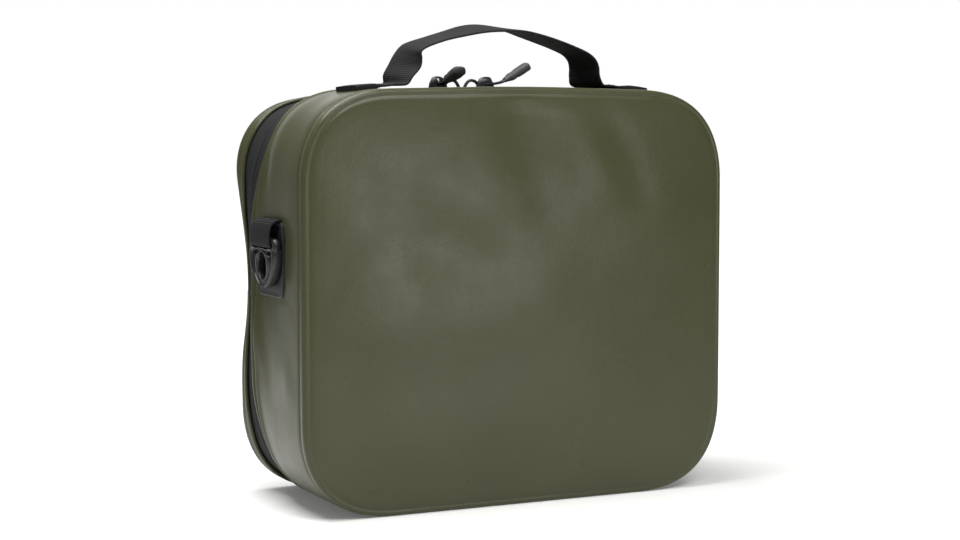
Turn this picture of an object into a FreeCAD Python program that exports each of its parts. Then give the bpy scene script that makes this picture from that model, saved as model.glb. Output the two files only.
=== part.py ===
import FreeCAD, Part
import Sketcher
import math
import os
import re

# Box-shaped roll-seamed pannier bag that opens like a clamshell, in millimetres.
# X is the width, Y runs from the front panel (low) to the rack hooks (high), Z is up.
# The origin is on the floor under the middle of the whole object.
# A "station" is a depth behind the foremost face of the bag.

DRIVING_SIZES = {
    # the shell
    "bag_width": 334, "bag_height": 300, "bag_depth": 144, "corner_radius": 66,
    "wall": 1.5, "panel_thickness": 2, "panel_recess": 1, "seam_raise": 1.2,
    "edge_roll_width": 8, "edge_roll_depth": 8, "edge_roll_round": 2.5,
    "front_flange_width": 16, "rear_flange_width": 4,
    # the zip and the fabric hinge that takes its place under the bag
    "zip_station": 114.5, "zip_channel": 29, "zip_gap": 0.3, "tape_thickness": 0.8, "tape_tuck": 6.5,
    "coil_width": 2, "coil_height": 2, "zip_end_gap": 8, "stop_length": 5,
    # the handle
    "webbing_width": 38, "webbing_thickness": 2.4, "handle_station": 45, "handle_foot_inset": 22,
    "handle_tail_inner": 8, "handle_tail_over": 17, "handle_rise": 46, "handle_shoulder_rise": 26,
    "handle_shoulder_out": 5, "strap_thickness": 3, "handle_neck": 6, "handle_pivot_rise": 10,
    "handle_foot_gap": 0.9,
    # the side rings
    "ring_setback": 50.5, "ring_bar_drop": 107, "ring_width": 50, "ring_thickness": 5.5,
    "ring_length": 33.5, "ring_arm": 5.5, "ring_shoulder_drop": 4, "ring_bottom_width": 34,
    "ring_eye_width": 17, "ring_eye_length": 19, "ring_rim": 2.6, "ring_slot_width": 3,
    "ring_slot_length": 8, "ring_slot_offset": 13, "bar_gap": 0.3, "ring_tab_thickness": 2,
    "patch_reach": 28, "patch_height": 76, "patch_round": 9, "backing_width": 48,
    "backing_height": 54, "backing_thickness": 1.5, "tab_top_above_bar": 14, "tab_top_depth": 5,
    # the zip sliders and their pulls
    "slider_length": 15, "slider_width": 9, "slider_height": 2.6, "slider_gap": 0.3,
    "left_slider_x": -13, "right_slider_x": 26, "stud_radius": 1.5, "stud_height": 1.9,
    "swivel_radius": 3.5, "swivel_plate": 1.4, "swivel_gap": 0.3, "clevis_ear": 1.2,
    "clevis_pin_radius": 0.9, "clevis_pin_rise": 2.6, "tongue_width": 3, "running_gap": 0.05,
    "pull_tab_length": 21, "pull_tab_width": 8, "pull_tab_thickness": 1.4,
    "grip_length": 24, "grip_width": 10, "grip_thickness": 5.5, "grip_overlap": 6,
    "left_pull_tilt": 17, "left_pull_turn": -90, "right_pull_tilt": 24, "right_pull_turn": 0,
    # the stiffener board and the hook rail on the rear
    "board_thickness": 2.5, "board_inset": 14, "rail_drop": 53, "rail_length": 236,
    "rail_foot_height": 14, "rail_foot_depth": 5, "rail_head_height": 24, "rail_head_depth": 4,
    "rail_screw_spacing": 68, "screw_radius": 2, "screw_head_radius": 4, "screw_head_depth": 1.6,
    "nut_radius": 4.5, "nut_depth": 3,
    # the hooks and their latches
    "hook_x": 84, "hook_width": 24, "hook_back": 5.2, "sliding_gap": 0.3, "hook_lip": 3,
    "hook_jaw": 4.2, "tube_seat_radius": 8.1, "hook_wall": 4.5, "hook_leg": 6, "seat_above_rail": 15,
    "latch_drop": 12, "latch_setback": 3.6, "latch_pin_radius": 1.5, "latch_thickness": 5.2,
    "latch_length": 17, "ear_thickness": 2.7, "ear_height": 7.6, "ear_depth": 7.4,
    "latch_spring_length": 4.6, "latch_spring_radius": 2.9,
    # the lower anchor hook
    "anchor_height": 74, "anchor_plate_length": 60, "anchor_plate_height": 24, "anchor_plate_depth": 4,
    "anchor_screw_spacing": 44, "anchor_pivot_radius": 3, "anchor_arm_width": 18,
    "anchor_arm_length": 30, "anchor_arm_depth": 5, "anchor_head_radius": 5.5, "anchor_head_depth": 2.6,
    "anchor_fin": 4, "anchor_reach": 13, "anchor_lip": 11, "anchor_fin_height": 20,
}

doc = FreeCAD.newDocument("pannier_bag")
sheet = doc.addObject("Spreadsheet::Sheet", "Sizes")
for row, (alias, number) in enumerate(DRIVING_SIZES.items(), start=1):
    sheet.set(f"A{row}", alias)
    sheet.set(f"B{row}", str(number))
    sheet.setAlias(f"B{row}", alias)
doc.recompute()

WORD = re.compile(r"\b(" + "|".join(DRIVING_SIZES) + r")\b")
PLANES = {"XZ": ("XZ_Plane", -1), "YZ": ("YZ_Plane", 1), "XY": ("XY_Plane", 1)}
SIDES = {"left": -1, "right": 1}
NODES = []


def bound(text):
    """A size expression with each driving size named through the sheet."""
    return WORD.sub(r"Sizes.\1", str(text))


def value(text):
    return float(sheet.evalExpression(bound(text)))


def mirrored(side, text):
    """The expression, negated for the left side."""
    return f"0 - ({text})" if side < 0 else f"({text})"


# ---------------------------------------------------------------- shared places, as expressions
HALF_WIDTH = "(bag_width / 2)"
CORNER_X = "(bag_width / 2 - corner_radius)"
CORNER_TOP = "(bag_height - corner_radius)"
UNDER_WALL = "(seam_raise + wall)"
# the flanges stand on either side of the channel in which the zip lies
FRONT_FLANGE_END = "(zip_station - zip_channel / 2)"
FRONT_FLANGE = f"({FRONT_FLANGE_END} - front_flange_width)"
REAR_FLANGE = "(zip_station + zip_channel / 2)"
RING_STATION = "(zip_station - ring_setback)"
# the handle turns up just inside the place where the top starts to curve down
FOOT_X = f"({CORNER_X} - handle_foot_inset)"
PANEL_BACK = "(bag_depth - panel_recess)"
BOARD_FRONT = f"({PANEL_BACK} - panel_thickness - board_thickness)"
RAIL_FACE = f"({PANEL_BACK} + rail_foot_depth + rail_head_depth)"
HOOK_FACE = f"({RAIL_FACE} + sliding_gap + hook_back)"
SEAT = f"({HOOK_FACE} + tube_seat_radius)"
HOOK_END = f"({SEAT} + tube_seat_radius + hook_wall)"
RAIL_Z = "(bag_height - rail_drop)"
SEAT_Z = f"({RAIL_Z} + seat_above_rail)"
RING_Z = "(bag_height - ring_bar_drop)"
BAR_OUT = "(bag_width / 2 + backing_thickness + ring_thickness / 2 + bar_gap + ring_tab_thickness)"
TAPE_TOP = f"(bag_height - {UNDER_WALL})"
SLIDER_BASE = f"({TAPE_TOP} + slider_gap)"
SLIDER_TOP = f"({SLIDER_BASE} + slider_height)"


def station(text):
    """Y of a station: the whole depth, front face to hook ends, is centred on the origin."""
    return f"(({text}) - {HOOK_END} / 2)"


# ---------------------------------------------------------------- building blocks
class Piece:
    """One sub-part: a PartDesign body made of padded and pocketed, fully bound sketches."""

    def __init__(self, name):
        self.body = doc.addObject("PartDesign::Body", name)
        self.body.Label = name
        self.steps = 0
        NODES.append(self.body)

    def sketch(self, plane, start, outlines):
        """A sketch on an origin plane, moved along the plane's axis to start."""
        role, facing = PLANES[plane]
        self.steps += 1
        sketch = self.body.newObject("Sketcher::SketchObject", f"{self.body.Name}_sketch{self.steps}")
        origin_plane = next(f for f in self.body.Origin.OriginFeatures if f.Role == role)
        sketch.AttachmentSupport = [(origin_plane, "")]
        sketch.MapMode = "FlatFace"
        sketch.setExpression("AttachmentOffset.Base.z", bound(f"{facing} * ({start})"))
        for outline in outlines:
            outline.draw(sketch)
        return sketch

    def extrude(self, kind, plane, start, length, outlines):
        sketch = self.sketch(plane, start, outlines)
        feature = self.body.newObject(f"PartDesign::{kind}", f"{self.body.Name}_{kind}{self.steps}")
        feature.Profile = sketch
        feature.setExpression("Length", bound(length))
        facing = PLANES[plane][1]
        feature.Reversed = (facing < 0) if kind == "Pad" else (facing > 0)
        sketch.Visibility = False
        doc.recompute()
        return feature

    def pad(self, plane, start, length, *outlines):
        self.extrude("Pad", plane, start, length, outlines)
        return self

    def cut(self, plane, start, length, *outlines):
        before = self.body.Shape.Volume
        self.extrude("Pocket", plane, start, length, outlines)
        if not self.body.Shape.Volume < before - 1e-6:
            raise RuntimeError(f"{self.body.Label}: a pocket removed nothing")
        return self

    def fillet(self, radius, chosen):
        """Rounds the edges for which chosen(edge) is true."""
        base = self.body.Tip
        names = [f"Edge{i}" for i, e in enumerate(base.Shape.Edges, start=1) if chosen(e)]
        feature = self.body.newObject("PartDesign::Fillet", f"{self.body.Name}_Fillet")
        feature.Base = (base, names)
        feature.setExpression("Radius", bound(radius))
        doc.recompute()
        return self

    def place(self, x, y, z, turn="0", tilt="0"):
        """Turns the piece about Z, after raising its +X end by tilt degrees, and moves it."""
        rotation = FreeCAD.Rotation(value(turn), -value(tilt), 0)
        self.body.Placement = FreeCAD.Placement(FreeCAD.Vector(0, 0, 0), rotation)
        for axis, text in (("x", x), ("y", y), ("z", z)):
            self.body.setExpression(f"Placement.Base.{axis}", bound(text))
        return self


class Outline:
    """A closed chain of corners, pairs of expressions; arcs maps an edge to (radius, turn)."""

    def __init__(self, corners, arcs=None):
        self.corners = [(str(u), str(v)) for u, v in corners]
        self.arcs = arcs or {}

    def mirror(self):
        corners = [(f"0 - ({u})", v) for u, v in self.corners]
        return Outline(corners, {k: (radius, -turn) for k, (radius, turn) in self.arcs.items()})

    def edge(self, start, end, arc):
        """The edge's geometry, and which of its ends is its start."""
        if arc is None:
            return Part.LineSegment(start, end), 1
        radius, turn = value(arc[0]), arc[1]
        across = end - start
        left = FreeCAD.Vector(-across.y, across.x, 0).normalize()
        rise = math.sqrt(max(radius**2 - (across.Length / 2) ** 2, 0))
        centre = (start + end) * 0.5 + left * rise * turn
        first, last = (start, end) if turn > 0 else (end, start)
        angles = [math.atan2(p.y - centre.y, p.x - centre.x) for p in (first, last)]
        circle = Part.Circle(centre, FreeCAD.Vector(0, 0, 1), radius)
        if angles[1] <= angles[0]:
            angles[1] += 2 * math.pi
        return Part.ArcOfCircle(circle, *angles), (1 if turn > 0 else 2)

    def draw(self, sketch):
        points = [FreeCAD.Vector(value(u), value(v), 0) for u, v in self.corners]
        count = len(points)
        edges = []
        for i in range(count):
            geometry, start_end = self.edge(points[i], points[(i + 1) % count], self.arcs.get(i))
            edges.append((sketch.addGeometry(geometry, False), start_end))
        for i, (edge, start_end) in enumerate(edges):
            following, following_start = edges[(i + 1) % count]
            sketch.addConstraint(
                Sketcher.Constraint("Coincident", edge, 3 - start_end, following, following_start))
            for kind, text in zip(("DistanceX", "DistanceY"), self.corners[i]):
                number = sketch.addConstraint(
                    Sketcher.Constraint(kind, -1, 1, edge, start_end, value(text)))
                sketch.setExpression(f"Constraints[{number}]", bound(text))
            if i in self.arcs:
                number = sketch.addConstraint(Sketcher.Constraint("Radius", edge, value(self.arcs[i][0])))
                sketch.setExpression(f"Constraints[{number}]", bound(self.arcs[i][0]))


class Disc:
    """A full circle."""

    def __init__(self, u, v, radius):
        self.centre, self.radius = (u, v), radius

    def draw(self, sketch):
        centre = FreeCAD.Vector(value(self.centre[0]), value(self.centre[1]), 0)
        circle = Part.Circle(centre, FreeCAD.Vector(0, 0, 1), value(self.radius))
        edge = sketch.addGeometry(circle, False)
        for kind, text in zip(("DistanceX", "DistanceY"), self.centre):
            number = sketch.addConstraint(Sketcher.Constraint(kind, -1, 1, edge, 3, value(text)))
            sketch.setExpression(f"Constraints[{number}]", bound(text))
        number = sketch.addConstraint(Sketcher.Constraint("Radius", edge, value(self.radius)))
        sketch.setExpression(f"Constraints[{number}]", bound(self.radius))


def rectangle(u0, v0, u1, v1):
    return Outline([(u0, v0), (u1, v0), (u1, v1), (u0, v1)])


def rounded_rectangle(u0, v0, u1, v1, radius):
    """A rectangle whose four corners are quarter circles."""
    corners = [(f"{u0} + {radius}", v0), (f"{u1} - {radius}", v0),
               (u1, f"{v0} + {radius}"), (u1, f"{v1} - {radius}"),
               (f"{u1} - {radius}", v1), (f"{u0} + {radius}", v1),
               (u0, f"{v1} - {radius}"), (u0, f"{v0} + {radius}")]
    return Outline(corners, {i: (radius, 1) for i in (1, 3, 5, 7)})


def slot(u, v_low, v_high, width):
    """An upright slot with half-round ends, each end two quarter circles."""
    half = f"({width} / 2)"
    corners = [(u, f"{v_low}"), (f"{u} + {half}", f"{v_low} + {half}"),
               (f"{u} + {half}", f"{v_high} - {half}"), (u, v_high),
               (f"{u} - {half}", f"{v_high} - {half}"), (f"{u} - {half}", f"{v_low} + {half}")]
    return Outline(corners, {i: (half, 1) for i in (0, 2, 3, 5)})


def bag_outline(inset):
    """The bag's front view outline, moved inwards by inset."""
    return rounded_rectangle(f"0 - {HALF_WIDTH} + {inset}", inset, f"{HALF_WIDTH} - {inset}",
                             f"bag_height - {inset}", f"(corner_radius - {inset})")


def open_band(outer, inner, gap_half):
    """The band between two insets, with its bottom open between -gap_half and gap_half."""
    def path(inset):
        low, high = "corner_radius", CORNER_TOP
        wide = f"{HALF_WIDTH} - {inset}"
        right = [(gap_half, inset), (CORNER_X, inset), (wide, low), (wide, high),
                 (CORNER_X, f"bag_height - {inset}")]
        left = [(f"0 - ({u})", v) for u, v in reversed(right)]
        return right + left
    corners = path(outer) + path(inner)[::-1]
    out, back = f"(corner_radius - {outer})", f"(corner_radius - {inner})"
    arcs = {i: (out, 1) for i in (1, 3, 5, 7)}
    arcs.update({i: (back, -1) for i in (11, 13, 15, 17)})
    return Outline(corners, arcs)


def closed_band(name, outer, inner, start, length):
    """A ring that follows the whole outline of the bag."""
    return Piece(name).pad("XZ", station(start), length, bag_outline(outer), bag_outline(inner))


# ---------------------------------------------------------------- the shells
def edge_roll(name, start):
    """The rolled and welded seam between a panel and its gusset."""
    roll = closed_band(name, "0", "edge_roll_width", start, "edge_roll_depth")
    half, high = value(HALF_WIDTH), value("bag_height")

    def outermost(edge):
        box = edge.BoundBox
        flat = box.YLength < 1e-6
        return flat and (max(abs(box.XMin), box.XMax) > half - value("edge_roll_width / 2")
                         or box.ZMax > high - value("edge_roll_width / 2")
                         or box.ZMin < value("edge_roll_width / 2"))
    return roll.fillet("edge_roll_round", outermost)


def make_shells():
    roll_back = "(bag_depth - edge_roll_depth)"
    edge_roll("front_edge_roll", "0")
    edge_roll("rear_edge_roll", roll_back)
    Piece("front_panel").pad("XZ", station("panel_recess"), "panel_thickness",
                             bag_outline("edge_roll_width"))
    panel = Piece("rear_panel").pad("XZ", station(f"{PANEL_BACK} - panel_thickness"),
                                    "panel_thickness", bag_outline("edge_roll_width"))
    closed_band("front_gusset", "seam_raise", UNDER_WALL, "edge_roll_depth",
                f"{FRONT_FLANGE_END} - edge_roll_depth")
    closed_band("rear_gusset", "seam_raise", UNDER_WALL, REAR_FLANGE, f"{roll_back} - {REAR_FLANGE}")
    closed_band("front_flange", "0", "seam_raise", FRONT_FLANGE, "front_flange_width")
    closed_band("rear_flange", "0", "seam_raise", REAR_FLANGE, "rear_flange_width")
    board = Piece("stiffener_board").pad("XZ", station(BOARD_FRONT), "board_thickness",
                                         bag_outline("board_inset"))
    for places, z in ((rail_screw_places(), RAIL_Z), (anchor_screw_places(), "anchor_height")):
        drill_for_screws(board, BOARD_FRONT, "board_thickness", places, z)
        drill_for_screws(panel, f"{BOARD_FRONT} + board_thickness", "panel_thickness", places, z)


def make_zip():
    """Two tapes with coils, stops at their ends, and the fabric hinge between the ends."""
    under_tape = f"({UNDER_WALL} + tape_thickness)"
    under_coil = f"({under_tape} + coil_height)"
    tape_start = f"({FRONT_FLANGE_END} - tape_tuck)"
    split = "(zip_station - zip_gap / 2)"
    rear_split = "(zip_station + zip_gap / 2)"
    tape_end = f"({REAR_FLANGE} + tape_tuck)"
    zip_half = f"({CORNER_X} - zip_end_gap)"
    strip_half = f"({zip_half} - zip_gap)"
    halves = {"front": (tape_start, split, f"{split} - coil_width"),
              "rear": (rear_split, tape_end, rear_split)}
    for name, (start, end, coil_start) in halves.items():
        Piece(f"{name}_zip_tape").pad("XZ", station(start), f"{end} - {start}",
                                      open_band(UNDER_WALL, under_tape, zip_half))
        Piece(f"{name}_zip_coil").pad("XZ", station(coil_start), "coil_width",
                                      open_band(under_tape, under_coil, f"({zip_half} + stop_length)"))
        Piece(f"{name}_hinge_strip").pad(
            "XZ", station(start), f"{end} - {start}",
            rectangle(f"0 - {strip_half}", UNDER_WALL, strip_half, under_tape))
    for label, side in SIDES.items():
        inner = mirrored(side, zip_half)
        outer = mirrored(side, f"{zip_half} + stop_length - zip_gap")
        low, high = (inner, outer) if side > 0 else (outer, inner)
        Piece(f"zip_stop_{label}").pad("XZ", station(rear_split), "coil_width",
                                       rectangle(low, under_tape, high, under_coil))


# ---------------------------------------------------------------- the handle
def make_handle():
    front = station("handle_station - webbing_width / 2")
    tail_start = f"{FOOT_X} - handle_tail_inner"
    tail_end = f"({CORNER_X} + handle_tail_over)"
    lift = "(webbing_thickness - seam_raise)"
    outer, inner = f"(corner_radius + {lift})", "(corner_radius - seam_raise)"
    end_high = f"{CORNER_TOP} + sqrt({outer} * {outer} - handle_tail_over * handle_tail_over)"
    end_low = f"{CORNER_TOP} + sqrt({inner} * {inner} - handle_tail_over * handle_tail_over)"
    tail = Outline([(tail_start, "bag_height - seam_raise"), (CORNER_X, "bag_height - seam_raise"),
                    (tail_end, end_low), (tail_end, end_high), (CORNER_X, f"bag_height + {lift}"),
                    (tail_start, f"bag_height + {lift}")],
                   {1: (inner, -1), 3: (outer, 1)})
    for label, side in SIDES.items():
        Piece(f"handle_tail_{label}").pad("XZ", front, "webbing_width",
                                          tail if side > 0 else tail.mirror())

    half = "(strap_thickness / 2)"
    foot_z = f"(bag_height + {lift} + handle_foot_gap)"
    shoulder_x = f"({FOOT_X} + handle_shoulder_out)"
    shoulder_z = "(bag_height + handle_shoulder_rise)"
    sag = "(handle_rise - handle_shoulder_rise)"

    def arch(out):
        """Foot, shoulder, shoulder and foot of one face of the strap."""
        edge = half if out else f"0 - {half}"
        return [(f"0 - {FOOT_X} - ({edge})", foot_z), (f"0 - {shoulder_x} - ({edge})", shoulder_z),
                (f"{shoulder_x} + ({edge})", shoulder_z), (f"{FOOT_X} + ({edge})", foot_z)]

    def arch_radius(out):
        chord = f"({shoulder_x} + {half})" if out else f"({shoulder_x} - {half})"
        rise = f"({sag} + {half})" if out else f"({sag} - {half})"
        return f"(({chord} * {chord} + {rise} * {rise}) / (2 * {rise}))"

    profile = Outline(arch(True) + arch(False)[::-1],
                      {1: (arch_radius(True), -1), 5: (arch_radius(False), 1)})
    strap = Piece("handle_strap").pad("XZ", front, "webbing_width", profile)
    pivot_z = "(bag_height + handle_pivot_rise)"
    wide, neck = "(webbing_width / 2 + 1)", "(handle_neck / 2)"
    widening = f"({pivot_z} + {wide})"
    below = f"{foot_z} - 1"
    notch = [(neck, below), (neck, f"{pivot_z} + {neck}"), (wide, widening), (wide, below)]
    for sign in (-1, 1):
        corners = [(f"{station('handle_station')} + {sign} * {u}", v) for u, v in notch]
        strap.cut("YZ", f"0 - {HALF_WIDTH}", "bag_width", Outline(corners))


# ---------------------------------------------------------------- the side rings
def make_ring_side(label, side):
    """Green patch, black backing, webbing tab and moulded ring on one side wall."""
    ring_y = station(RING_STATION)
    patch_low = f"({RING_Z} - ring_length - (patch_height - backing_height) / 2 - 6.5)"

    def outwards(name, start, length):
        """The start of a slab that begins at this distance from the middle plane."""
        return start if side > 0 else f"0 - ({start}) - ({length})"

    patch = Piece(f"side_patch_{label}")
    patch.pad("YZ", outwards(label, f"{HALF_WIDTH} - seam_raise", "seam_raise"), "seam_raise",
              rounded_rectangle(station(f"{RING_STATION} - patch_reach"), patch_low,
                                station(FRONT_FLANGE), f"({patch_low} + patch_height)", "patch_round"))
    backing_top = f"({RING_Z} + tab_top_above_bar)"
    Piece(f"ring_backing_{label}").pad(
        "YZ", outwards(label, HALF_WIDTH, "backing_thickness"), "backing_thickness",
        rounded_rectangle(f"({ring_y} - backing_width / 2)", f"({backing_top} - backing_height)",
                          f"({ring_y} + backing_width / 2)", backing_top, "wall"))

    # the tab: flat and stitched at its top, looped round the ring's bar below
    loop = "(ring_thickness / 2 + bar_gap + ring_tab_thickness)"
    back = f"({HALF_WIDTH} + backing_thickness)"
    tab = Outline([(back, RING_Z), (BAR_OUT, f"{RING_Z} - {loop}"), (f"{BAR_OUT} + {loop}", RING_Z),
                   (f"{back} + tab_top_depth", backing_top), (back, backing_top)],
                  {0: (loop, 1), 1: (loop, 1)})
    tab_front = station(f"{RING_STATION} - webbing_width / 2")
    bore = Disc(mirrored(side, BAR_OUT), RING_Z, "ring_thickness / 2 + bar_gap")
    Piece(f"ring_tab_{label}").pad("XZ", tab_front, "webbing_width",
                                   tab if side > 0 else tab.mirror()) \
                              .cut("XZ", tab_front, "webbing_width", bore)

    # the ring: a round bar carried by a moulded plate that narrows to a rounded lower end
    half = "(ring_width / 2)"
    foot = "(ring_bottom_width / 2)"
    shoulder = f"({RING_Z} - ring_shoulder_drop)"
    foot_z = f"({RING_Z} - ring_length + {foot})"
    plate = Outline([(f"{ring_y} + {half}", RING_Z), (f"{ring_y} - {half}", RING_Z),
                     (f"{ring_y} - {half}", shoulder), (f"{ring_y} - {foot}", foot_z),
                     (ring_y, f"{RING_Z} - ring_length"), (f"{ring_y} + {foot}", foot_z),
                     (f"{ring_y} + {half}", shoulder)],
                    {3: (foot, 1), 4: (foot, 1)})
    web_top = f"({RING_Z} - {loop} - bar_gap)"
    window = rectangle(f"{ring_y} - {half} + ring_arm", web_top, f"{ring_y} + {half} - ring_arm",
                       f"{RING_Z} + 1")
    eye_top = f"({web_top} - ring_rim)"
    eye = slot(ring_y, f"({eye_top} - ring_eye_length)", eye_top, "ring_eye_width")
    slots = [slot(f"({ring_y} + {sign} * ring_slot_offset)", f"({eye_top} - ring_slot_length)", eye_top,
                  "ring_slot_width") for sign in (-1, 1)]
    plate_start = outwards(label, f"{BAR_OUT} - ring_thickness / 2", "ring_thickness")
    ring = Piece(f"d_ring_{label}")
    ring.pad("YZ", plate_start, "ring_thickness", plate)
    ring.cut("YZ", plate_start, "ring_thickness", window)
    ring.cut("YZ", plate_start, "ring_thickness", eye, *slots)
    ring.pad("XZ", f"{ring_y} - {half}", "ring_width",
             Disc(mirrored(side, BAR_OUT), RING_Z, "ring_thickness / 2"))


# ---------------------------------------------------------------- the zip sliders
def make_slider(label):
    """Slider body with a stud, a swivel clevis on the stud, and the pull on the clevis pin."""
    side = SIDES[label]
    x, y = f"{label}_slider_x", station("zip_station")
    half_long, half_wide = "(slider_length / 2)", "(slider_width / 2)"
    # the nose of each slider faces the other one and is narrower than its tail
    tail, nose = f"{x} + {side} * {half_long}", f"{x} - {side} * {half_long}"
    shape = Outline([(tail, f"{y} - {half_wide} * 0.75"), (x, f"{y} - {half_wide}"),
                     (nose, f"{y} - {half_wide} * 0.6"), (nose, f"{y} + {half_wide} * 0.6"),
                     (x, f"{y} + {half_wide}"), (tail, f"{y} + {half_wide} * 0.75")])
    Piece(f"slider_{label}") \
        .pad("XY", SLIDER_BASE, "slider_height", shape) \
        .pad("XY", SLIDER_TOP, "stud_height", Disc(x, y, "stud_radius"))

    plate_z, pin_z = "swivel_gap", "(swivel_gap + swivel_plate + clevis_pin_rise)"
    pocket_half = "(tongue_width / 2 + running_gap * 2)"
    ear_half = "(clevis_pin_radius + 1.1)"
    swivel = Piece(f"pull_swivel_{label}")
    swivel.pad("XY", plate_z, "swivel_plate", Disc("0", "0", "swivel_radius"),
               Disc("0", "0", "stud_radius + running_gap"))
    for sign in (-1, 1):
        start = f"{pocket_half}" if sign > 0 else f"0 - {pocket_half} - clevis_ear"
        ear = Outline([(f"0 - {ear_half}", f"{plate_z} + swivel_plate / 2"),
                       (ear_half, f"{plate_z} + swivel_plate / 2"),
                       (ear_half, pin_z), ("0", f"{pin_z} + {ear_half}"), (f"0 - {ear_half}", pin_z)],
                      {2: (ear_half, 1), 3: (ear_half, 1)})
        swivel.pad("XZ", start, "clevis_ear", ear)
        swivel.cut("XZ", start, "clevis_ear", Disc("0", pin_z, "clevis_pin_radius + running_gap"))
    turn, tilt = f"{label}_pull_turn", f"{label}_pull_tilt"
    swivel.place(x, y, SLIDER_TOP, turn)

    # the pull is drawn along +X with its pin at the origin
    knuckle = "(clevis_pin_radius + 0.8)"
    blade_half = "(pull_tab_thickness / 2)"
    start_out = f"({ear_half} + 1.2)"
    tab = Piece(f"pull_tab_{label}")
    tab.pad("XZ", "0 - tongue_width / 2", "tongue_width", Disc("0", "0", knuckle))
    tab.pad("XY", f"0 - {blade_half}", "pull_tab_thickness", Outline(
        [("0", "0 - tongue_width / 2"), (start_out, "0 - tongue_width / 2"),
         (f"{start_out} + 2", "0 - pull_tab_width / 2"), ("pull_tab_length", "0 - pull_tab_width / 2"),
         ("pull_tab_length", "pull_tab_width / 2"), (f"{start_out} + 2", "pull_tab_width / 2"),
         (start_out, "tongue_width / 2"), ("0", "tongue_width / 2")]))
    tab.pad("XZ", f"0 - {pocket_half} - clevis_ear", f"2 * ({pocket_half} + clevis_ear)",
            Disc("0", "0", "clevis_pin_radius"))
    grip_start = "(pull_tab_length - grip_overlap)"
    grip = Piece(f"pull_grip_{label}")
    grip.pad("XY", "0 - grip_thickness / 2", "grip_thickness",
             rounded_rectangle(grip_start, "0 - grip_width / 2", f"({grip_start} + grip_length)",
                               "grip_width / 2", "(grip_width / 4)"))
    grip.cut("XY", f"0 - {blade_half}", "pull_tab_thickness",
             rectangle(f"{grip_start} - 1", "0 - pull_tab_width / 2", "pull_tab_length",
                       "pull_tab_width / 2"))
    for piece in (tab, grip):
        piece.place(x, y, f"{SLIDER_TOP} + {pin_z}", turn, tilt)


# ---------------------------------------------------------------- the rack hooks
def rail_screw_places():
    return [f"({k} * rail_screw_spacing)" for k in (-1.5, -0.5, 0.5, 1.5)]


def anchor_screw_places():
    return [f"({sign} * anchor_screw_spacing / 2)" for sign in (-1, 1)]


def make_screws(name, places, z, head_start):
    """Screws along Y through the panel and the board, as one group of solids."""
    board_face = f"({BOARD_FRONT} - nut_depth)"
    screws, nuts = Piece(f"{name}_screws_shape"), Piece(f"{name}_nuts_shape")
    NODES.remove(screws.body)
    NODES.remove(nuts.body)
    screws.pad("XZ", station(board_face), f"{head_start} - {board_face}", Disc(places[0], z, "screw_radius"))
    screws.pad("XZ", station(head_start), "screw_head_depth", Disc(places[0], z, "screw_head_radius"))
    nuts.pad("XZ", station(board_face), "nut_depth", Disc(places[0], z, "nut_radius"),
             Disc(places[0], z, "screw_radius"))
    for source, label in ((screws, f"{name}_screws"), (nuts, f"{name}_nuts")):
        group = doc.addObject("Part::Feature", label)
        copies = []
        for place in places:
            copy = source.body.Shape.copy()
            copy.translate(FreeCAD.Vector(value(place) - value(places[0]), 0, 0))
            copies.append(copy)
        group.Shape = Part.makeCompound(copies)
        group.Label = label
        NODES.append(group)


def drill_for_screws(piece, start, depth, places, z):
    piece.cut("XZ", station(start), depth, *[Disc(place, z, "screw_radius") for place in places])


def make_rail():
    """T-shaped hook rail, and the screws that clamp it, the panel and the board together."""
    foot, head = "(rail_foot_height / 2)", "(rail_head_height / 2)"
    neck = f"({PANEL_BACK} + rail_foot_depth)"
    section = Outline([(station(PANEL_BACK), f"{RAIL_Z} - {foot}"), (station(neck), f"{RAIL_Z} - {foot}"),
                       (station(neck), f"{RAIL_Z} - {head}"), (station(RAIL_FACE), f"{RAIL_Z} - {head}"),
                       (station(RAIL_FACE), f"{RAIL_Z} + {head}"), (station(neck), f"{RAIL_Z} + {head}"),
                       (station(neck), f"{RAIL_Z} + {foot}"), (station(PANEL_BACK), f"{RAIL_Z} + {foot}")])
    rail = Piece("hook_rail").pad("YZ", "0 - rail_length / 2", "rail_length", section)
    places = rail_screw_places()
    head_seat = f"({RAIL_FACE} - screw_head_depth)"
    rail.cut("XZ", station(PANEL_BACK), "rail_foot_depth + rail_head_depth",
             *[Disc(place, RAIL_Z, "screw_radius") for place in places])
    rail.cut("XZ", station(head_seat), "screw_head_depth",
             *[Disc(place, RAIL_Z, "screw_head_radius") for place in places])
    make_screws("rail", places, RAIL_Z, head_seat)


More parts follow.
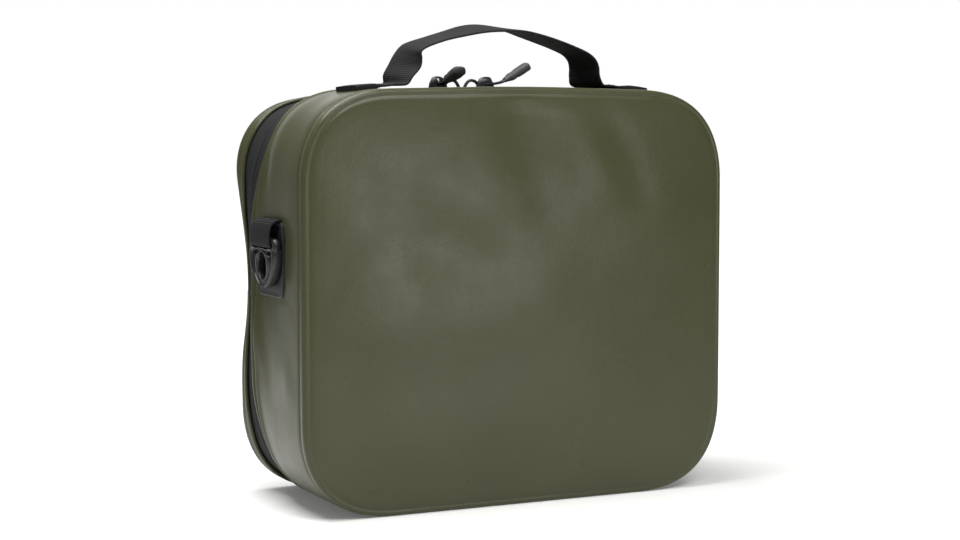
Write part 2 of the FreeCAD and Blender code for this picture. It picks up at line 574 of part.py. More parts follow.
def make_hook(label, side):
    """Sliding hook with its seat for the rack tube, and the sprung latch under the seat."""
    x = mirrored(side, "hook_x")
    head = "(rail_head_height / 2)"
    jaw_in, jaw_out = f"({head} + sliding_gap)", f"({head} + sliding_gap + hook_jaw)"
    lip = "(rail_foot_height / 2 + sliding_gap * 2)"
    lip_back = f"({PANEL_BACK} + rail_foot_depth - sliding_gap)"
    back_in = f"({RAIL_FACE} + sliding_gap)"
    outer = "(tube_seat_radius + hook_wall)"
    arch_y = f"({SEAT} - sqrt({outer} * {outer} - pow({RAIL_Z} + {jaw_out} - {SEAT_Z}; 2)))"
    outline = [
        (f"{lip_back} - hook_lip", f"{RAIL_Z} - {jaw_out}"), (HOOK_FACE, f"{RAIL_Z} - {jaw_out}"),
        (HOOK_FACE, SEAT_Z), (SEAT, f"{SEAT_Z} + tube_seat_radius"),
        (f"{SEAT} + tube_seat_radius", SEAT_Z), (f"{SEAT} + tube_seat_radius", f"{SEAT_Z} - hook_leg"),
        (HOOK_END, f"{SEAT_Z} - hook_leg"), (HOOK_END, SEAT_Z), (SEAT, f"{SEAT_Z} + {outer}"),
        (arch_y, f"{RAIL_Z} + {jaw_out}"), (f"{lip_back} - hook_lip", f"{RAIL_Z} + {jaw_out}"),
        (f"{lip_back} - hook_lip", f"{RAIL_Z} + {lip}"), (lip_back, f"{RAIL_Z} + {lip}"),
        (lip_back, f"{RAIL_Z} + {jaw_in}"), (back_in, f"{RAIL_Z} + {jaw_in}"),
        (back_in, f"{RAIL_Z} - {jaw_in}"), (lip_back, f"{RAIL_Z} - {jaw_in}"),
        (lip_back, f"{RAIL_Z} - {lip}"), (f"{lip_back} - hook_lip", f"{RAIL_Z} - {lip}")]
    arcs = {2: ("tube_seat_radius", -1), 3: ("tube_seat_radius", -1), 7: (outer, 1), 8: (outer, 1)}
    profile = Outline([(station(u), v) for u, v in outline], arcs)
    hook = Piece(f"hook_{label}").pad("YZ", f"{x} - hook_width / 2", "hook_width", profile)

    pin_y, pin_z = station(f"{HOOK_FACE} + latch_setback"), f"({SEAT_Z} - latch_drop)"
    ear_low = f"({pin_z} - ear_height / 2)"
    ear = rectangle(station(f"{HOOK_FACE} - 1"), ear_low, station(f"{HOOK_FACE} + ear_depth"),
                    f"{ear_low} + ear_height")
    for start in (f"{x} - hook_width / 2", f"{x} + hook_width / 2 - ear_thickness"):
        hook.pad("YZ", start, "ear_thickness", ear)
        hook.cut("YZ", start, "ear_thickness", Disc(pin_y, pin_z, "latch_pin_radius"))
    Piece(f"latch_pin_{label}").pad("YZ", f"{x} - hook_width / 2", "hook_width",
                                    Disc(pin_y, pin_z, "latch_pin_radius"))

    half = "(latch_thickness / 2)"
    inside = "(hook_width / 2 - ear_thickness - sliding_gap)"
    spring_start = f"({x} + {inside} - latch_spring_length)"
    finger = Outline([(pin_y, f"{pin_z} - {half}"), (f"{pin_y} + latch_length", f"{pin_z} - {half}"),
                      (f"{pin_y} + latch_length", f"{pin_z} + {half}"), (pin_y, f"{pin_z} + {half}"),
                      (f"{pin_y} - {half}", pin_z)], {3: (half, 1), 4: (half, 1)})
    latch = Piece(f"latch_{label}").pad("YZ", f"{x} - {inside}", f"2 * {inside}", finger)
    latch.cut("YZ", f"{x} - {inside}", f"2 * {inside}",
              Disc(pin_y, pin_z, "latch_pin_radius + running_gap"))
    latch.cut("YZ", f"{spring_start} - sliding_gap", "latch_spring_length + 2 * sliding_gap",
              rectangle(f"{pin_y} - {half} - 1", f"{pin_z} - {half} - 1",
                        f"{pin_y} + latch_spring_radius + sliding_gap * 2", f"{pin_z} + {half} + 1"))
    Piece(f"latch_spring_{label}").pad("YZ", spring_start, "latch_spring_length",
                                       Disc(pin_y, pin_z, "latch_spring_radius"),
                                       Disc(pin_y, pin_z, "latch_pin_radius"))


def make_anchor():
    """Swivelling hook low on the rear that catches behind the rack's strut."""
    plate_face = f"({PANEL_BACK} + anchor_plate_depth)"
    half_long, half_high = "(anchor_plate_length / 2)", "(anchor_plate_height / 2)"
    plate = Piece("anchor_plate").pad(
        "XZ", station(PANEL_BACK), "anchor_plate_depth",
        rounded_rectangle(f"(0 - {half_long})", f"(anchor_height - {half_high})", half_long,
                          f"(anchor_height + {half_high})", "edge_roll_round"))
    places = anchor_screw_places()
    head_seat = f"({plate_face} - screw_head_depth)"
    plate.cut("XZ", station(PANEL_BACK), "anchor_plate_depth",
              *[Disc(place, "anchor_height", "screw_radius") for place in places])
    plate.cut("XZ", station(head_seat), "screw_head_depth",
              *[Disc(place, "anchor_height", "screw_head_radius") for place in places])
    make_screws("anchor", places, "anchor_height", head_seat)

    arm_start = f"({plate_face} + sliding_gap)"
    arm_end = f"({arm_start} + anchor_arm_depth)"
    Piece("anchor_pivot") \
        .pad("XZ", station(plate_face), "sliding_gap * 2 + anchor_arm_depth",
             Disc("0", "anchor_height", "anchor_pivot_radius")) \
        .pad("XZ", station(f"{arm_end} + sliding_gap"), "anchor_head_depth",
             Disc("0", "anchor_height", "anchor_head_radius"))
    half = "(anchor_arm_width / 2)"
    arm_low = "(anchor_height - anchor_arm_length)"
    arm = Piece("anchor_hook")
    arm.pad("XZ", station(arm_start), "anchor_arm_depth",
            slot("0", f"({arm_low} - {half})", f"(anchor_height + {half})", "anchor_arm_width"))
    arm.cut("XZ", station(arm_start), "anchor_arm_depth",
            Disc("0", "anchor_height", "anchor_pivot_radius + running_gap"))
    fin_in, lip = f"({half} - anchor_fin)", f"{half} - anchor_lip"
    fin_end = f"({arm_end} + anchor_reach)"
    root, tip = station(f"{arm_end} - 1"), station(f"{fin_end} + anchor_fin")
    arm.pad("XY", f"{arm_low} - anchor_fin_height / 2 + {half} / 2", "anchor_fin_height", Outline(
        [(fin_in, root), (half, root), (half, tip), (lip, tip),
         (lip, station(fin_end)), (fin_in, station(fin_end))]))


make_shells()
make_zip()
make_handle()
for label, side in SIDES.items():
    make_ring_side(label, side)
    make_slider(label)
    make_hook(label, side)
make_rail()
make_anchor()
doc.recompute()

# ---------------------------------------------------------------- checks, then one file per sub-part
for thing in doc.Objects:
    bad = {"Invalid", "Error"} & set(thing.State)
    if bad:
        raise RuntimeError(f"{thing.Label}: {bad}")
for node in NODES:
    if node.Shape.isNull() or not node.Shape.isValid() or node.Shape.Volume <= 0:
        raise RuntimeError(f"{node.Label}: no valid solid")
os.makedirs("parts", exist_ok=True)
for node in NODES:
    node.Shape.exportStep(f"parts/{node.Label}.step")
    print(f"{node.Label}: {len(node.Shape.Solids)} solid(s), {node.Shape.Volume / 1000:.2f} cm3")
print(len(NODES), "nodes")
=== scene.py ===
# %% [markdown]
# # A welded pannier bag
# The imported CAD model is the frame: it says how big the bag is and how it opens.
# This script puts the real looks around it: coated fabric, webbing, moulded plastic and rubber.
# Everything is in metres, X to the right, Y from the front of the bag to the rack hooks, Z up.

# %% Load the frame
import math
import bmesh
import bpy
import numpy as np
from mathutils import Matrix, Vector


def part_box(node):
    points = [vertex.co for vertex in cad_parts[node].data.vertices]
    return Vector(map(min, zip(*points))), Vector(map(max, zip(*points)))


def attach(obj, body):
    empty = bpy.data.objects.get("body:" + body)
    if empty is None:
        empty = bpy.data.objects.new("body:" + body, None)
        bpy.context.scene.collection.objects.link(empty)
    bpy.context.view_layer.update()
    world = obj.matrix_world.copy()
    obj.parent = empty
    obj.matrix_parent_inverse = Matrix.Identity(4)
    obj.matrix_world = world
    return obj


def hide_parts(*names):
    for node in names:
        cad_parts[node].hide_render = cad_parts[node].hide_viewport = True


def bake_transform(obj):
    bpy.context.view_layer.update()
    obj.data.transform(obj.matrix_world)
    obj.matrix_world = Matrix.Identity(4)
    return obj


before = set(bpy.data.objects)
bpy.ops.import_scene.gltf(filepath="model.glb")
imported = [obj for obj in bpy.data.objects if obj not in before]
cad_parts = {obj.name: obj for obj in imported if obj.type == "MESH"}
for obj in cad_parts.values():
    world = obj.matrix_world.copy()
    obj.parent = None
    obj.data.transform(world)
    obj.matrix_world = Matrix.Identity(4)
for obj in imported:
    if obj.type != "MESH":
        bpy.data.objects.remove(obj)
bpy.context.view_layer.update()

MM = 0.001
roll_low, roll_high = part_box("front_edge_roll")
FRONT_Y = roll_low.y
HALF_WIDTH = roll_high.x
HEIGHT = roll_high.z
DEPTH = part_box("rear_edge_roll")[1].y - FRONT_Y
CORNER = 66 * MM
SHEET = 1.2 * MM
PI = math.pi
print(f"bag {2 * HALF_WIDTH / MM:.0f} x {DEPTH / MM:.0f} x {HEIGHT / MM:.0f} mm")

# %% [markdown]
# ## Small helpers
# Every material is built from nodes, so one function adds a node with its settings and links.
# Colours are written as sRGB hex values, as a designer picks them, and turned to linear light.


# %% A node, a colour and an empty material
def node(tree, kind, settings=None, **links):
    """Adds a node; settings fill its properties, links fill its inputs by name or number."""
    made = tree.nodes.new(kind)
    for name, setting in (settings or {}).items():
        setattr(made, name, setting)
    for name, source in links.items():
        key = int(name[1:]) if name[0] == "i" and name[1:].isdigit() else name.replace("_", " ")
        if isinstance(source, bpy.types.NodeSocket):
            tree.links.new(source, made.inputs[key])
        else:
            made.inputs[key].default_value = source
    return made


def maths(tree, operation, first, second=0.0, third=0.0):
    return node(tree, "ShaderNodeMath", {"operation": operation}, i0=first, i1=second, i2=third).outputs[0]


def linear(hex_colour):
    """sRGB hex to linear RGBA: c / 12.92 below 0.04045, else ((c + 0.055) / 1.055) ^ 2.4."""
    parts = [int(hex_colour[i:i + 2], 16) / 255 for i in (1, 3, 5)]
    return [c / 12.92 if c <= 0.04045 else ((c + 0.055) / 1.055) ** 2.4 for c in parts] + [1.0]


def new_material(name):
    """A material with only a Principled shader, and its tree, shader and object coordinates."""
    made = bpy.data.materials.new(name)
    made.use_nodes = True
    tree = made.node_tree
    shader = tree.nodes["Principled BSDF"]
    place = tree.nodes.new("ShaderNodeTexCoord").outputs["Object"]
    return made, tree, shader, place


def noise(tree, place, size, detail=2.0, stretch=(1, 1, 1)):
    """Noise whose blobs are about size metres across, squeezed by stretch."""
    scaled = node(tree, "ShaderNodeVectorMath", {"operation": "MULTIPLY"}, i0=place, i1=stretch)
    return node(tree, "ShaderNodeTexNoise", Vector=scaled.outputs[0], Scale=1 / size, Detail=detail,
                Roughness=0.55).outputs["Fac"]


def ramp(tree, value, low, high, from_low=0.3, from_high=0.7):
    """Rescales a value from one range to another, clamped."""
    return node(tree, "ShaderNodeMapRange", Value=value, From_Min=from_low, From_Max=from_high,
                To_Min=low, To_Max=high).outputs[0]


def two_colours(tree, value, first, second):
    mixed = node(tree, "ShaderNodeMix", {"data_type": "RGBA"}, i0=value)
    mixed.inputs[6].default_value = linear(first)
    mixed.inputs[7].default_value = linear(second)
    return mixed.outputs[2]


def bump(tree, height, depth, under=None):
    """Bump whose full height is depth metres, laid over an earlier bump."""
    made = node(tree, "ShaderNodeBump", Height=height, Distance=depth, Strength=1.0)
    if under is not None:
        tree.links.new(under, made.inputs["Normal"])
    return made.outputs["Normal"]


# %% [markdown]
# ## Coated fabric
# The bag is woven polyester with a thermoplastic polyurethane coating, welded at the seams.
# The coating is satin, not glossy: broad soft highlights that break up in a fine pebble.
# The pebble is the weave showing through, a little under 1 mm a cell, and the colour drifts.


# %% The olive coating
PEBBLE = 0.95 * MM


def coated_fabric(name, dark, light, rough=0.31, pebble_depth=0.05 * MM):
    made, tree, shader, place = new_material(name)
    drift = ramp(tree, noise(tree, place, 90 * MM, 3), 0, 1)
    tree.links.new(two_colours(tree, drift, dark, light), shader.inputs["Base Color"])
    smear = ramp(tree, noise(tree, place, 30 * MM, 4), rough - 0.04, rough + 0.06)
    tree.links.new(smear, shader.inputs["Roughness"])
    cells = node(tree, "ShaderNodeTexVoronoi", {"feature": "SMOOTH_F1"}, Vector=place,
                 Scale=1 / PEBBLE, Smoothness=0.6).outputs["Distance"]
    soft = noise(tree, place, 9 * MM, 2)
    relief = bump(tree, soft, 0.12 * MM)
    relief = bump(tree, cells, pebble_depth, relief)
    tree.links.new(relief, shader.inputs["Normal"])
    shader.inputs["IOR"].default_value = 1.5
    shader.inputs["Specular IOR Level"].default_value = 0.3
    return made


TPU_OLIVE = coated_fabric("tpu_coated_fabric_olive", "#3c3d26", "#41422b")
TPU_INNER = coated_fabric("tpu_fabric_inner_face", "#3c3d33", "#45463a", 0.6)
print("coatings", TPU_OLIVE.name, TPU_INNER.name)

# %% [markdown]
# ## Where the outline runs
# All the perimeter pieces follow one line: the rounded rectangle of the bag's front view.
# Written as a function of the distance walked along it, it gives a place and an outward direction.


# %% The outline as a function of distance
QUARTER = PI / 2 * CORNER
RUNS = [HALF_WIDTH - CORNER, QUARTER, HEIGHT - 2 * CORNER, QUARTER, 2 * (HALF_WIDTH - CORNER),
        QUARTER, HEIGHT - 2 * CORNER, QUARTER, HALF_WIDTH - CORNER]
RUN_STARTS = np.concatenate([[0], np.cumsum(RUNS)])
PERIMETER = RUN_STARTS[-1]
RUN_POINTS = np.array([(0, 0), (HALF_WIDTH - CORNER, 0), (HALF_WIDTH, CORNER),
                       (HALF_WIDTH, HEIGHT - CORNER), (HALF_WIDTH - CORNER, HEIGHT),
                       (CORNER - HALF_WIDTH, HEIGHT), (-HALF_WIDTH, HEIGHT - CORNER),
                       (-HALF_WIDTH, CORNER), (CORNER - HALF_WIDTH, 0)])
RUN_HEADINGS = np.array([0, 0, 1, 1, 2, 2, 3, 3, 4]) * PI / 2


def outline(walked):
    """x, z and the outward direction at a distance walked from the bottom's middle, going right.

    A straight run is start + distance * heading. A corner turns about a centre one radius to the
    left of its start, so it is centre + radius * (cos, sin) of the turned angle.
    """
    walked = np.mod(walked, PERIMETER)
    run = np.clip(np.searchsorted(RUN_STARTS, walked, side="right") - 1, 0, 8)
    along = walked - RUN_STARTS[run]
    turning = run % 2 == 1
    heading = RUN_HEADINGS[run] + np.where(turning, along / CORNER, 0)
    outward = np.stack([np.sin(heading), -np.cos(heading)], -1)
    first = RUN_HEADINGS[run]
    centre = RUN_POINTS[run] + CORNER * np.stack([-np.sin(first), np.cos(first)], -1)
    straight = RUN_POINTS[run] + along[..., None] * np.stack([np.cos(first), np.sin(first)], -1)
    spot = np.where(turning[..., None], centre + CORNER * outward, straight)
    return spot[..., 0], spot[..., 1], outward[..., 0], outward[..., 1]


print(f"the outline is {PERIMETER / MM:.0f} mm round")

# %% [markdown]
# ## How soft walls leave the straight line
# A welded bag isn't a box: the sides bulge near the stiff front, and pinch in behind the middle,
# where the zip lets them. One field of outward movement is shared by every piece on the wall,
# so fabric, flanges, zip and rings stay together.


# %% The field of soft shape
def hump(t):
    """A smooth bump: cos squared of t * 90 degrees inside -1..1, and nothing outside."""
    return np.cos(PI / 2 * np.clip(t, -1, 1)) ** 2


def step(low, high, value):
    """Goes smoothly from 0 to 1 as the value goes from low to high."""
    t = np.clip((value - low) / (high - low), 0, 1)
    return t * t * (3 - 2 * t)


def waves(u, v, seed):
    """Gentle ripples: five sine waves in fixed pseudo-random directions, about -1..1."""
    pick = np.random.default_rng(seed)
    total = 0
    for _ in range(5):
        angle, length, phase = pick.uniform(0, PI), pick.uniform(0.6, 1.5), pick.uniform(0, 2 * PI)
        total = total + np.sin((u * np.cos(angle) + v * np.sin(angle)) / length * 2 * PI + phase)
    return total / 3


SIDE_BULGE, TOP_BULGE, LIP_BULGE, PINCH, CORNER_PUSH = (v * MM for v in (2.8, 2.2, 2.0, 13.0, 3.6))
CORNER_HOLLOW, ZIP_SWAY, REAR_TUCK, SHOULDER_SAG, SLIDER_DIP = (v * MM for v in (5.0, 8.5, 4.8, 4.0, 1.8))
RING_DEPTH = (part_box("d_ring_left")[0].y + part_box("d_ring_left")[1].y) / 2 - FRONT_Y
RING_HEIGHT = 180 * MM


def soft_shape(x, z, nx, nz, depth):
    """Outward movement of the wall: bulges, a pinched waist behind the zip, and small ripples.

    The welded backing of the ring holds the wall flat around it, so the field fades there.
    Behind the zip the low corners are tucked in and the shoulders sag; the top dips at the pulls.
    """
    side, top = np.abs(nx) ** 1.5, np.clip(nz, 0, 1) ** 1.5
    front = 1 - step(0, 95 * MM, depth)
    middle = 1 - np.clip(np.abs(z - HEIGHT / 2) / (HEIGHT / 2), 0, 1) ** 5
    waist = hump((z - 156 * MM) / (122 * MM))
    bulge = SIDE_BULGE * middle + LIP_BULGE * waist * step(50 * MM, 98 * MM, depth)
    pinch = PINCH * waist * step(98 * MM, 146 * MM, depth)
    crown = top * TOP_BULGE * hump(x / (HALF_WIDTH - 20 * MM)) * front
    corner = CORNER_PUSH * 4 * nx**2 * nz**2 * (1 - 0.45 * step(40 * MM, 130 * MM, depth))
    around = np.arctan2(z - HEIGHT / 2, x) * 150 * MM
    ripple = 0.5 * MM * waves(around / (70 * MM), depth / (60 * MM), 7) \
        * step(0, 30 * MM, z) * step(4 * MM, 30 * MM, depth)
    held = np.exp(-((z - RING_HEIGHT) / (38 * MM)) ** 2 - ((depth - RING_DEPTH) / (30 * MM)) ** 2)
    hollow = CORNER_HOLLOW * zip_corner(nx, z) * hump((depth - 100 * MM) / (42 * MM))
    rear = step(100 * MM, 138 * MM, depth)
    tuck = REAR_TUCK * side * hump((z - 48 * MM) / (66 * MM)) * rear
    sag = SHOULDER_SAG * top * hump((np.abs(x) - 112 * MM) / (50 * MM)) * rear
    dip = SLIDER_DIP * top * hump((x - 6 * MM) / (95 * MM)) * hump((depth - 82 * MM) / (34 * MM))
    return (side * (bulge - pinch) + ripple) * (1 - held * side) + crown + corner - hollow - tuck - sag - dip


def zip_corner(nx, z):
    """1 where the zip goes round a corner of the side wall, and 0 half way up and on the top."""
    upper, lower = hump((z - 262 * MM) / (66 * MM)), 0.75 * hump((z - 34 * MM) / (60 * MM))
    return np.maximum(upper, lower) * np.sqrt(np.abs(nx))


def swayed(nx, z, depth):
    """Y at a depth: at the corners the zip and its flanges sway forwards, the panels don't."""
    return FRONT_Y + depth - ZIP_SWAY * zip_corner(nx, z) * hump((depth - 106 * MM) / (34 * MM))


# %% Making a mesh from a grid of points
def put(name, points, material, body, replaces=(), close_u=False, uv=None, sharp=None, solid=False):
    """A grid of points (rows, columns, 3) becomes quads; close_u joins the last column to the first.

    solid turns the faces outwards, by the sign of the enclosed volume, the sum of a . (b x c) / 6.
    """
    rows, columns = points.shape[:2]
    index = np.arange(rows * columns).reshape(rows, columns)
    after = np.roll(index, -1, axis=1)
    if not close_u:
        index, after = index[:, :-1], after[:, :-1]
    quads = np.stack([index[:-1], after[:-1], after[1:], index[1:]], -1).reshape(-1, 4)
    flat = points.reshape(-1, 3)
    if solid:
        a, b, c, d = (flat[quads[:, k]] for k in range(4))
        inside = (a * np.cross(b, c)).sum() + (a * np.cross(c, d)).sum()
        quads = quads if inside > 0 else quads[:, ::-1]
    mesh = bpy.data.meshes.new(name)
    mesh.from_pydata(flat.tolist(), [], quads.tolist())
    if uv is not None:
        corners = np.zeros(len(mesh.loops), int)
        mesh.loops.foreach_get("vertex_index", corners)
        layer = mesh.uv_layers.new(name="cloth")
        layer.data.foreach_set("uv", uv.reshape(-1, 2)[corners].astype(np.float32).ravel())
    joined = bmesh.new()
    joined.from_mesh(mesh)
    bmesh.ops.remove_doubles(joined, verts=joined.verts, dist=0.004 * MM)
    joined.to_mesh(mesh)
    joined.free()
    mesh.polygons.foreach_set("use_smooth", [True] * len(mesh.polygons))
    if sharp is not None:
        mesh.set_sharp_from_angle(angle=math.radians(sharp))
    mesh.update()
    return finish_piece(bpy.data.objects.new(name, mesh), material, body, replaces)


def finish_piece(piece, material, body, replaces=()):
    """Links a piece to the scene, with its material, its body and the CAD nodes it stands for."""
    if piece.name not in bpy.context.scene.collection.objects:
        bpy.context.scene.collection.objects.link(piece)
    if material is not None:
        piece.data.materials.clear()
        piece.data.materials.append(material)
    if body is not None:
        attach(piece, body)
    if replaces:
        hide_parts(*replaces)
    return piece


def thicken(piece, thickness, inner_material=None):
    """Gives a sheet its wall, inwards, so that it is a closed solid."""
    if inner_material is not None:
        piece.data.materials.append(inner_material)
    wall = piece.modifiers.new("wall", "SOLIDIFY")
    wall.thickness, wall.offset, wall.use_even_offset = thickness, -1, False
    wall.use_quality_normals = True
    wall.material_offset = 1 if inner_material is not None else 0
    return piece


# %% [markdown]
# ## The front panel with its rolled edge
# The front is one sheet, welded over a rolled seam. It is a surface of two parameters: how far
# round the outline, and how far in from the edge. The edge's section is a short list of points;
# inside it the sheet is crowned, and ripples and soft folds break its highlight into patches.


# %% Section of the rolled edge
# inset from the outline and depth behind the front, in mm, from under the roll to the panel
ROLL_SECTION = [(2.2, 10.6), (1.2, 9.9), (0.5, 8.6), (0.05, 6.6), (0.0, 4.4), (0.35, 2.7), (1.2, 1.5),
                (2.4, 0.95), (3.4, 1.0), (4.3, 1.3), (5.2, 1.1), (6.4, 0.6), (8.0, 0.3), (10.5, 0.15),
                (13.0, 0.08), (16.0, 0.0)]
AROUND = 480


def smooth_line(points, count):
    """Points spread evenly along a Catmull-Rom curve through a short list of points."""
    p = np.asarray(points, float)
    p = np.vstack([2 * p[0] - p[1], p, 2 * p[-1] - p[-2]])
    t = np.linspace(0, len(p) - 3 - 1e-9, count * 8)
    i, f = t.astype(int), (t % 1)[:, None]
    a, b, c, d = p[i], p[i + 1], p[i + 2], p[i + 3]
    curve = 0.5 * (2 * b + (c - a) * f + (2 * a - 5 * b + 4 * c - d) * f**2 + (3 * b - a - 3 * c + d) * f**3)
    walked = np.concatenate([[0], np.cumsum(np.linalg.norm(np.diff(curve, axis=0), axis=1))])
    even = np.linspace(0, walked[-1], count)
    return np.stack([np.interp(even, walked, curve[:, k]) for k in range(p.shape[1])], -1)


def panel_relief(x, z, seed):
    """Forward movement of a panel: a crown, slow ripples, and a few soft folds near the top.

    The crown is the product of one bump across and one bump up, so it has no mitred corners.
    """
    u, v = x / HALF_WIDTH, (z - HEIGHT / 2) / (HEIGHT / 2)
    crown = 4.2 * MM * (1 - np.abs(u) ** 3.2).clip(0, 1) * (1 - np.abs(v) ** 3.2).clip(0, 1)
    slow = 0.75 * MM * waves(x / (150 * MM), z / (120 * MM), seed)
    fine = 0.12 * MM * waves(x / (55 * MM), z / (70 * MM), seed + 1)
    folds = 0
    for x0, z0, x1, z1, height, width in (
            (-150, 250, -40, 175, -1.5, 26), (-6, 285, 14, 215, -1.2, 20), (70, 286, 96, 226, -0.9, 14),
            (40, 292, 66, 236, 0.9, 18), (-110, 268, -50, 270, 1.2, 30)):
        ax, az, bx, bz = (q * MM for q in (x0, z0, x1, z1))
        t = (((x - ax) * (bx - ax) + (z - az) * (bz - az)) / ((bx - ax) ** 2 + (bz - az) ** 2)).clip(0, 1)
        away = np.hypot(x - ax - t * (bx - ax), z - az - t * (bz - az))
        folds = folds + height * MM * np.exp(-(away / (width * MM)) ** 2)
    inside = ((1 - np.abs(u)) * (1 - np.abs(v)) * 9).clip(0, 1)
    return crown + (slow + fine + folds) * inside


def panel_surface(name, facing, plane_y, section, seed, body, replaces):
    """Rows run from under the roll, over it, to the middle: first by inset, then by scaling."""
    edge = smooth_line(section, 36) * MM
    walked = np.linspace(0, PERIMETER, AROUND, endpoint=False)
    x, z, nx, nz = outline(walked)
    depth = np.where(facing > 0, edge[:, 1], DEPTH - edge[:, 1])[:, None]
    swell = soft_shape(x[None], z[None], nx[None], nz[None], depth)
    edge_x = x[None] + nx[None] * (swell - edge[:, :1])
    edge_z = z[None] + nz[None] * (swell - edge[:, :1])
    shrink = np.linspace(1, 0.0, 62)[1:, None] ** 1.15
    inner_x = edge_x[-1:] * shrink
    inner_z = HEIGHT / 2 + (edge_z[-1:] - HEIGHT / 2) * shrink
    all_x, all_z = np.vstack([edge_x, inner_x]), np.vstack([edge_z, inner_z])
    back = np.concatenate([edge[:, 1], np.full(len(shrink), edge[-1, 1])])[:, None]
    from_edge = np.linspace(0, 1, len(back))[:, None] * HALF_WIDTH
    lift = panel_relief(all_x, all_z, seed) * step(0, 12 * MM, from_edge - 20 * MM)
    y = plane_y + facing * (back - lift)
    points = np.stack([all_x, np.broadcast_to(y, all_x.shape), all_z], -1)
    if facing < 0:
        points = points[:, ::-1]
    made = put(name, points, TPU_OLIVE, body, replaces, close_u=True)
    return thicken(made, SHEET, TPU_INNER)


front_panel = panel_surface("front_panel_sheet", 1, FRONT_Y, ROLL_SECTION, 3, "front_shell",
                            ("front_panel", "front_edge_roll"))
panel_surface("rear_panel_sheet", -1, FRONT_Y + DEPTH,
              [(inset, depth * 0.9) for inset, depth in ROLL_SECTION], 5, "rear_shell",
              ("rear_panel", "rear_edge_roll"))
print("panels", len(front_panel.data.polygons), "faces each")

# %% [markdown]
# ## The gussets and their welded flanges
# The wall between the panels is another sheet. Next to the zip it is folded and welded: a ridge,
# a dark fold beside it, and a thin lip that stands over the zip. Creases are short lines pressed
# into the same surface, so that they catch the light as real ones do.


# %% Sections across the gussets
# depth behind the front and height above the wall, in mm, from the roll to the zip
FRONT_WALL = [(8.4, -1.2), (10.2, -0.9), (12.6, -0.2), (18, 0), (30, 0), (45, 0), (60, 0), (72, 0),
              (82, 0), (86, 0.4), (88.4, 1.3), (90.0, 1.4), (91.6, 0.2), (93.2, -1.4), (94.8, -1.2),
              (96.4, 0.3), (97.8, 0.9), (99.2, 0.7), (100.1, -0.3), (100.2, -1.8), (99.2, -2.2)]
REAR_WALL = [(129.6, -2.0), (128.8, -1.5), (128.9, -0.2), (129.7, 0.5), (130.8, 0.5), (131.8, -0.1),
             (132.9, -0.4), (134.0, -0.1), (135.4, -0.2), (136.5, -1.1)]
WALL_INSET = 0.2 * MM


def walked_to(side, z):
    """Distance walked to a height on the straight part of the left or right side."""
    up = RUN_STARTS[2] + (z - CORNER)
    return up if side > 0 else PERIMETER - up


def crease(walked, depth, start, end, height, width):
    """A ridge (or, if height is negative, a groove) along a line on the unrolled wall.

    It is height * exp(-(distance / width)^2), and it dies away towards both ends of the line.
    """
    (a0, b0), (a1, b1) = start, end
    length2 = (a1 - a0) ** 2 + (b1 - b0) ** 2
    t = ((walked - a0) * (a1 - a0) + (depth - b0) * (b1 - b0)) / length2
    nearest = np.clip(t, 0, 1)
    away = np.hypot(walked - a0 - nearest * (a1 - a0), depth - b0 - nearest * (b1 - b0))
    return height * np.exp(-(away / width) ** 2) * hump(np.clip(2 * nearest - 1, -1, 1) * 0.85)


def wall_creases(walked, depth):
    """The dents and creases of the two side walls and the shoulders."""
    total = 0
    for side in (-1, 1):
        for z0, d0, z1, d1, height, width in (
                (214, 88, 262, 74, -1.6, 9), (206, 84, 250, 90, 1.4, 5), (150, 90, 96, 84, 1.5, 6),
                (150, 78, 70, 66, -1.3, 12), (225, 50, 180, 30, -0.7, 14), (118, 40, 66, 22, 0.7, 12)):
            line = ((walked_to(side, z0 * MM), d0 * MM), (walked_to(side, z1 * MM), d1 * MM))
            total = total + crease(walked, depth, *line, height * MM, width * MM)
    shoulder = PERIMETER - RUN_STARTS[4] - 2 * MM
    total = total + crease(walked, depth, (shoulder - 12 * MM, 60 * MM), (shoulder + 12 * MM, 34 * MM),
                           -0.9 * MM, 1.3 * MM)
    return total


def wall_surface(name, section, count, body, replaces):
    line = smooth_line(section, count) * MM
    walked = np.linspace(0, PERIMETER, AROUND, endpoint=False)
    x, z, nx, nz = (v[None] for v in outline(walked))
    depth = line[:, :1] + 0.6 * MM * waves(walked[None] / (60 * MM), 0 * walked[None], 11) \
        * step(60 * MM, 92 * MM, line[:, :1]) * (1 - step(132 * MM, 136 * MM, line[:, :1]))
    flatter = 1 - 0.55 * np.clip(nz, 0, 1) * hump(x / (140 * MM))
    out = soft_shape(x, z, nx, nz, line[:, :1]) - WALL_INSET + line[:, 1:] * flatter
    out = out + wall_creases(walked[None], line[:, :1])
    y = swayed(nx, z, depth + 0 * x)
    points = np.stack([x + nx * out, y, np.maximum(z + nz * out, 0.1 * MM)], -1)
    made = put(name, points[:, ::-1], TPU_OLIVE, body, replaces, close_u=True)
    return thicken(made, SHEET, TPU_INNER)


front_wall = wall_surface("front_gusset_sheet", FRONT_WALL, 88, "front_shell",
                          ("front_gusset", "front_flange", "side_patch_left", "side_patch_right"))
rear_wall = wall_surface("rear_gusset_sheet", REAR_WALL, 40, "rear_shell", ("rear_gusset", "rear_flange"))
print("gussets", len(front_wall.data.polygons), len(rear_wall.data.polygons), "faces")

# %% [markdown]
# ## Webbing, zip tape and plastics
# Webbing is polyester woven in ribs that cross its width, matt, near black. Zip tape is a knit
# with finer ribs. Both read the piece's own coordinates: metres across, metres along.
# Moulded parts are acetal or nylon with a light spark-eroded grain; the grip is soft rubber.


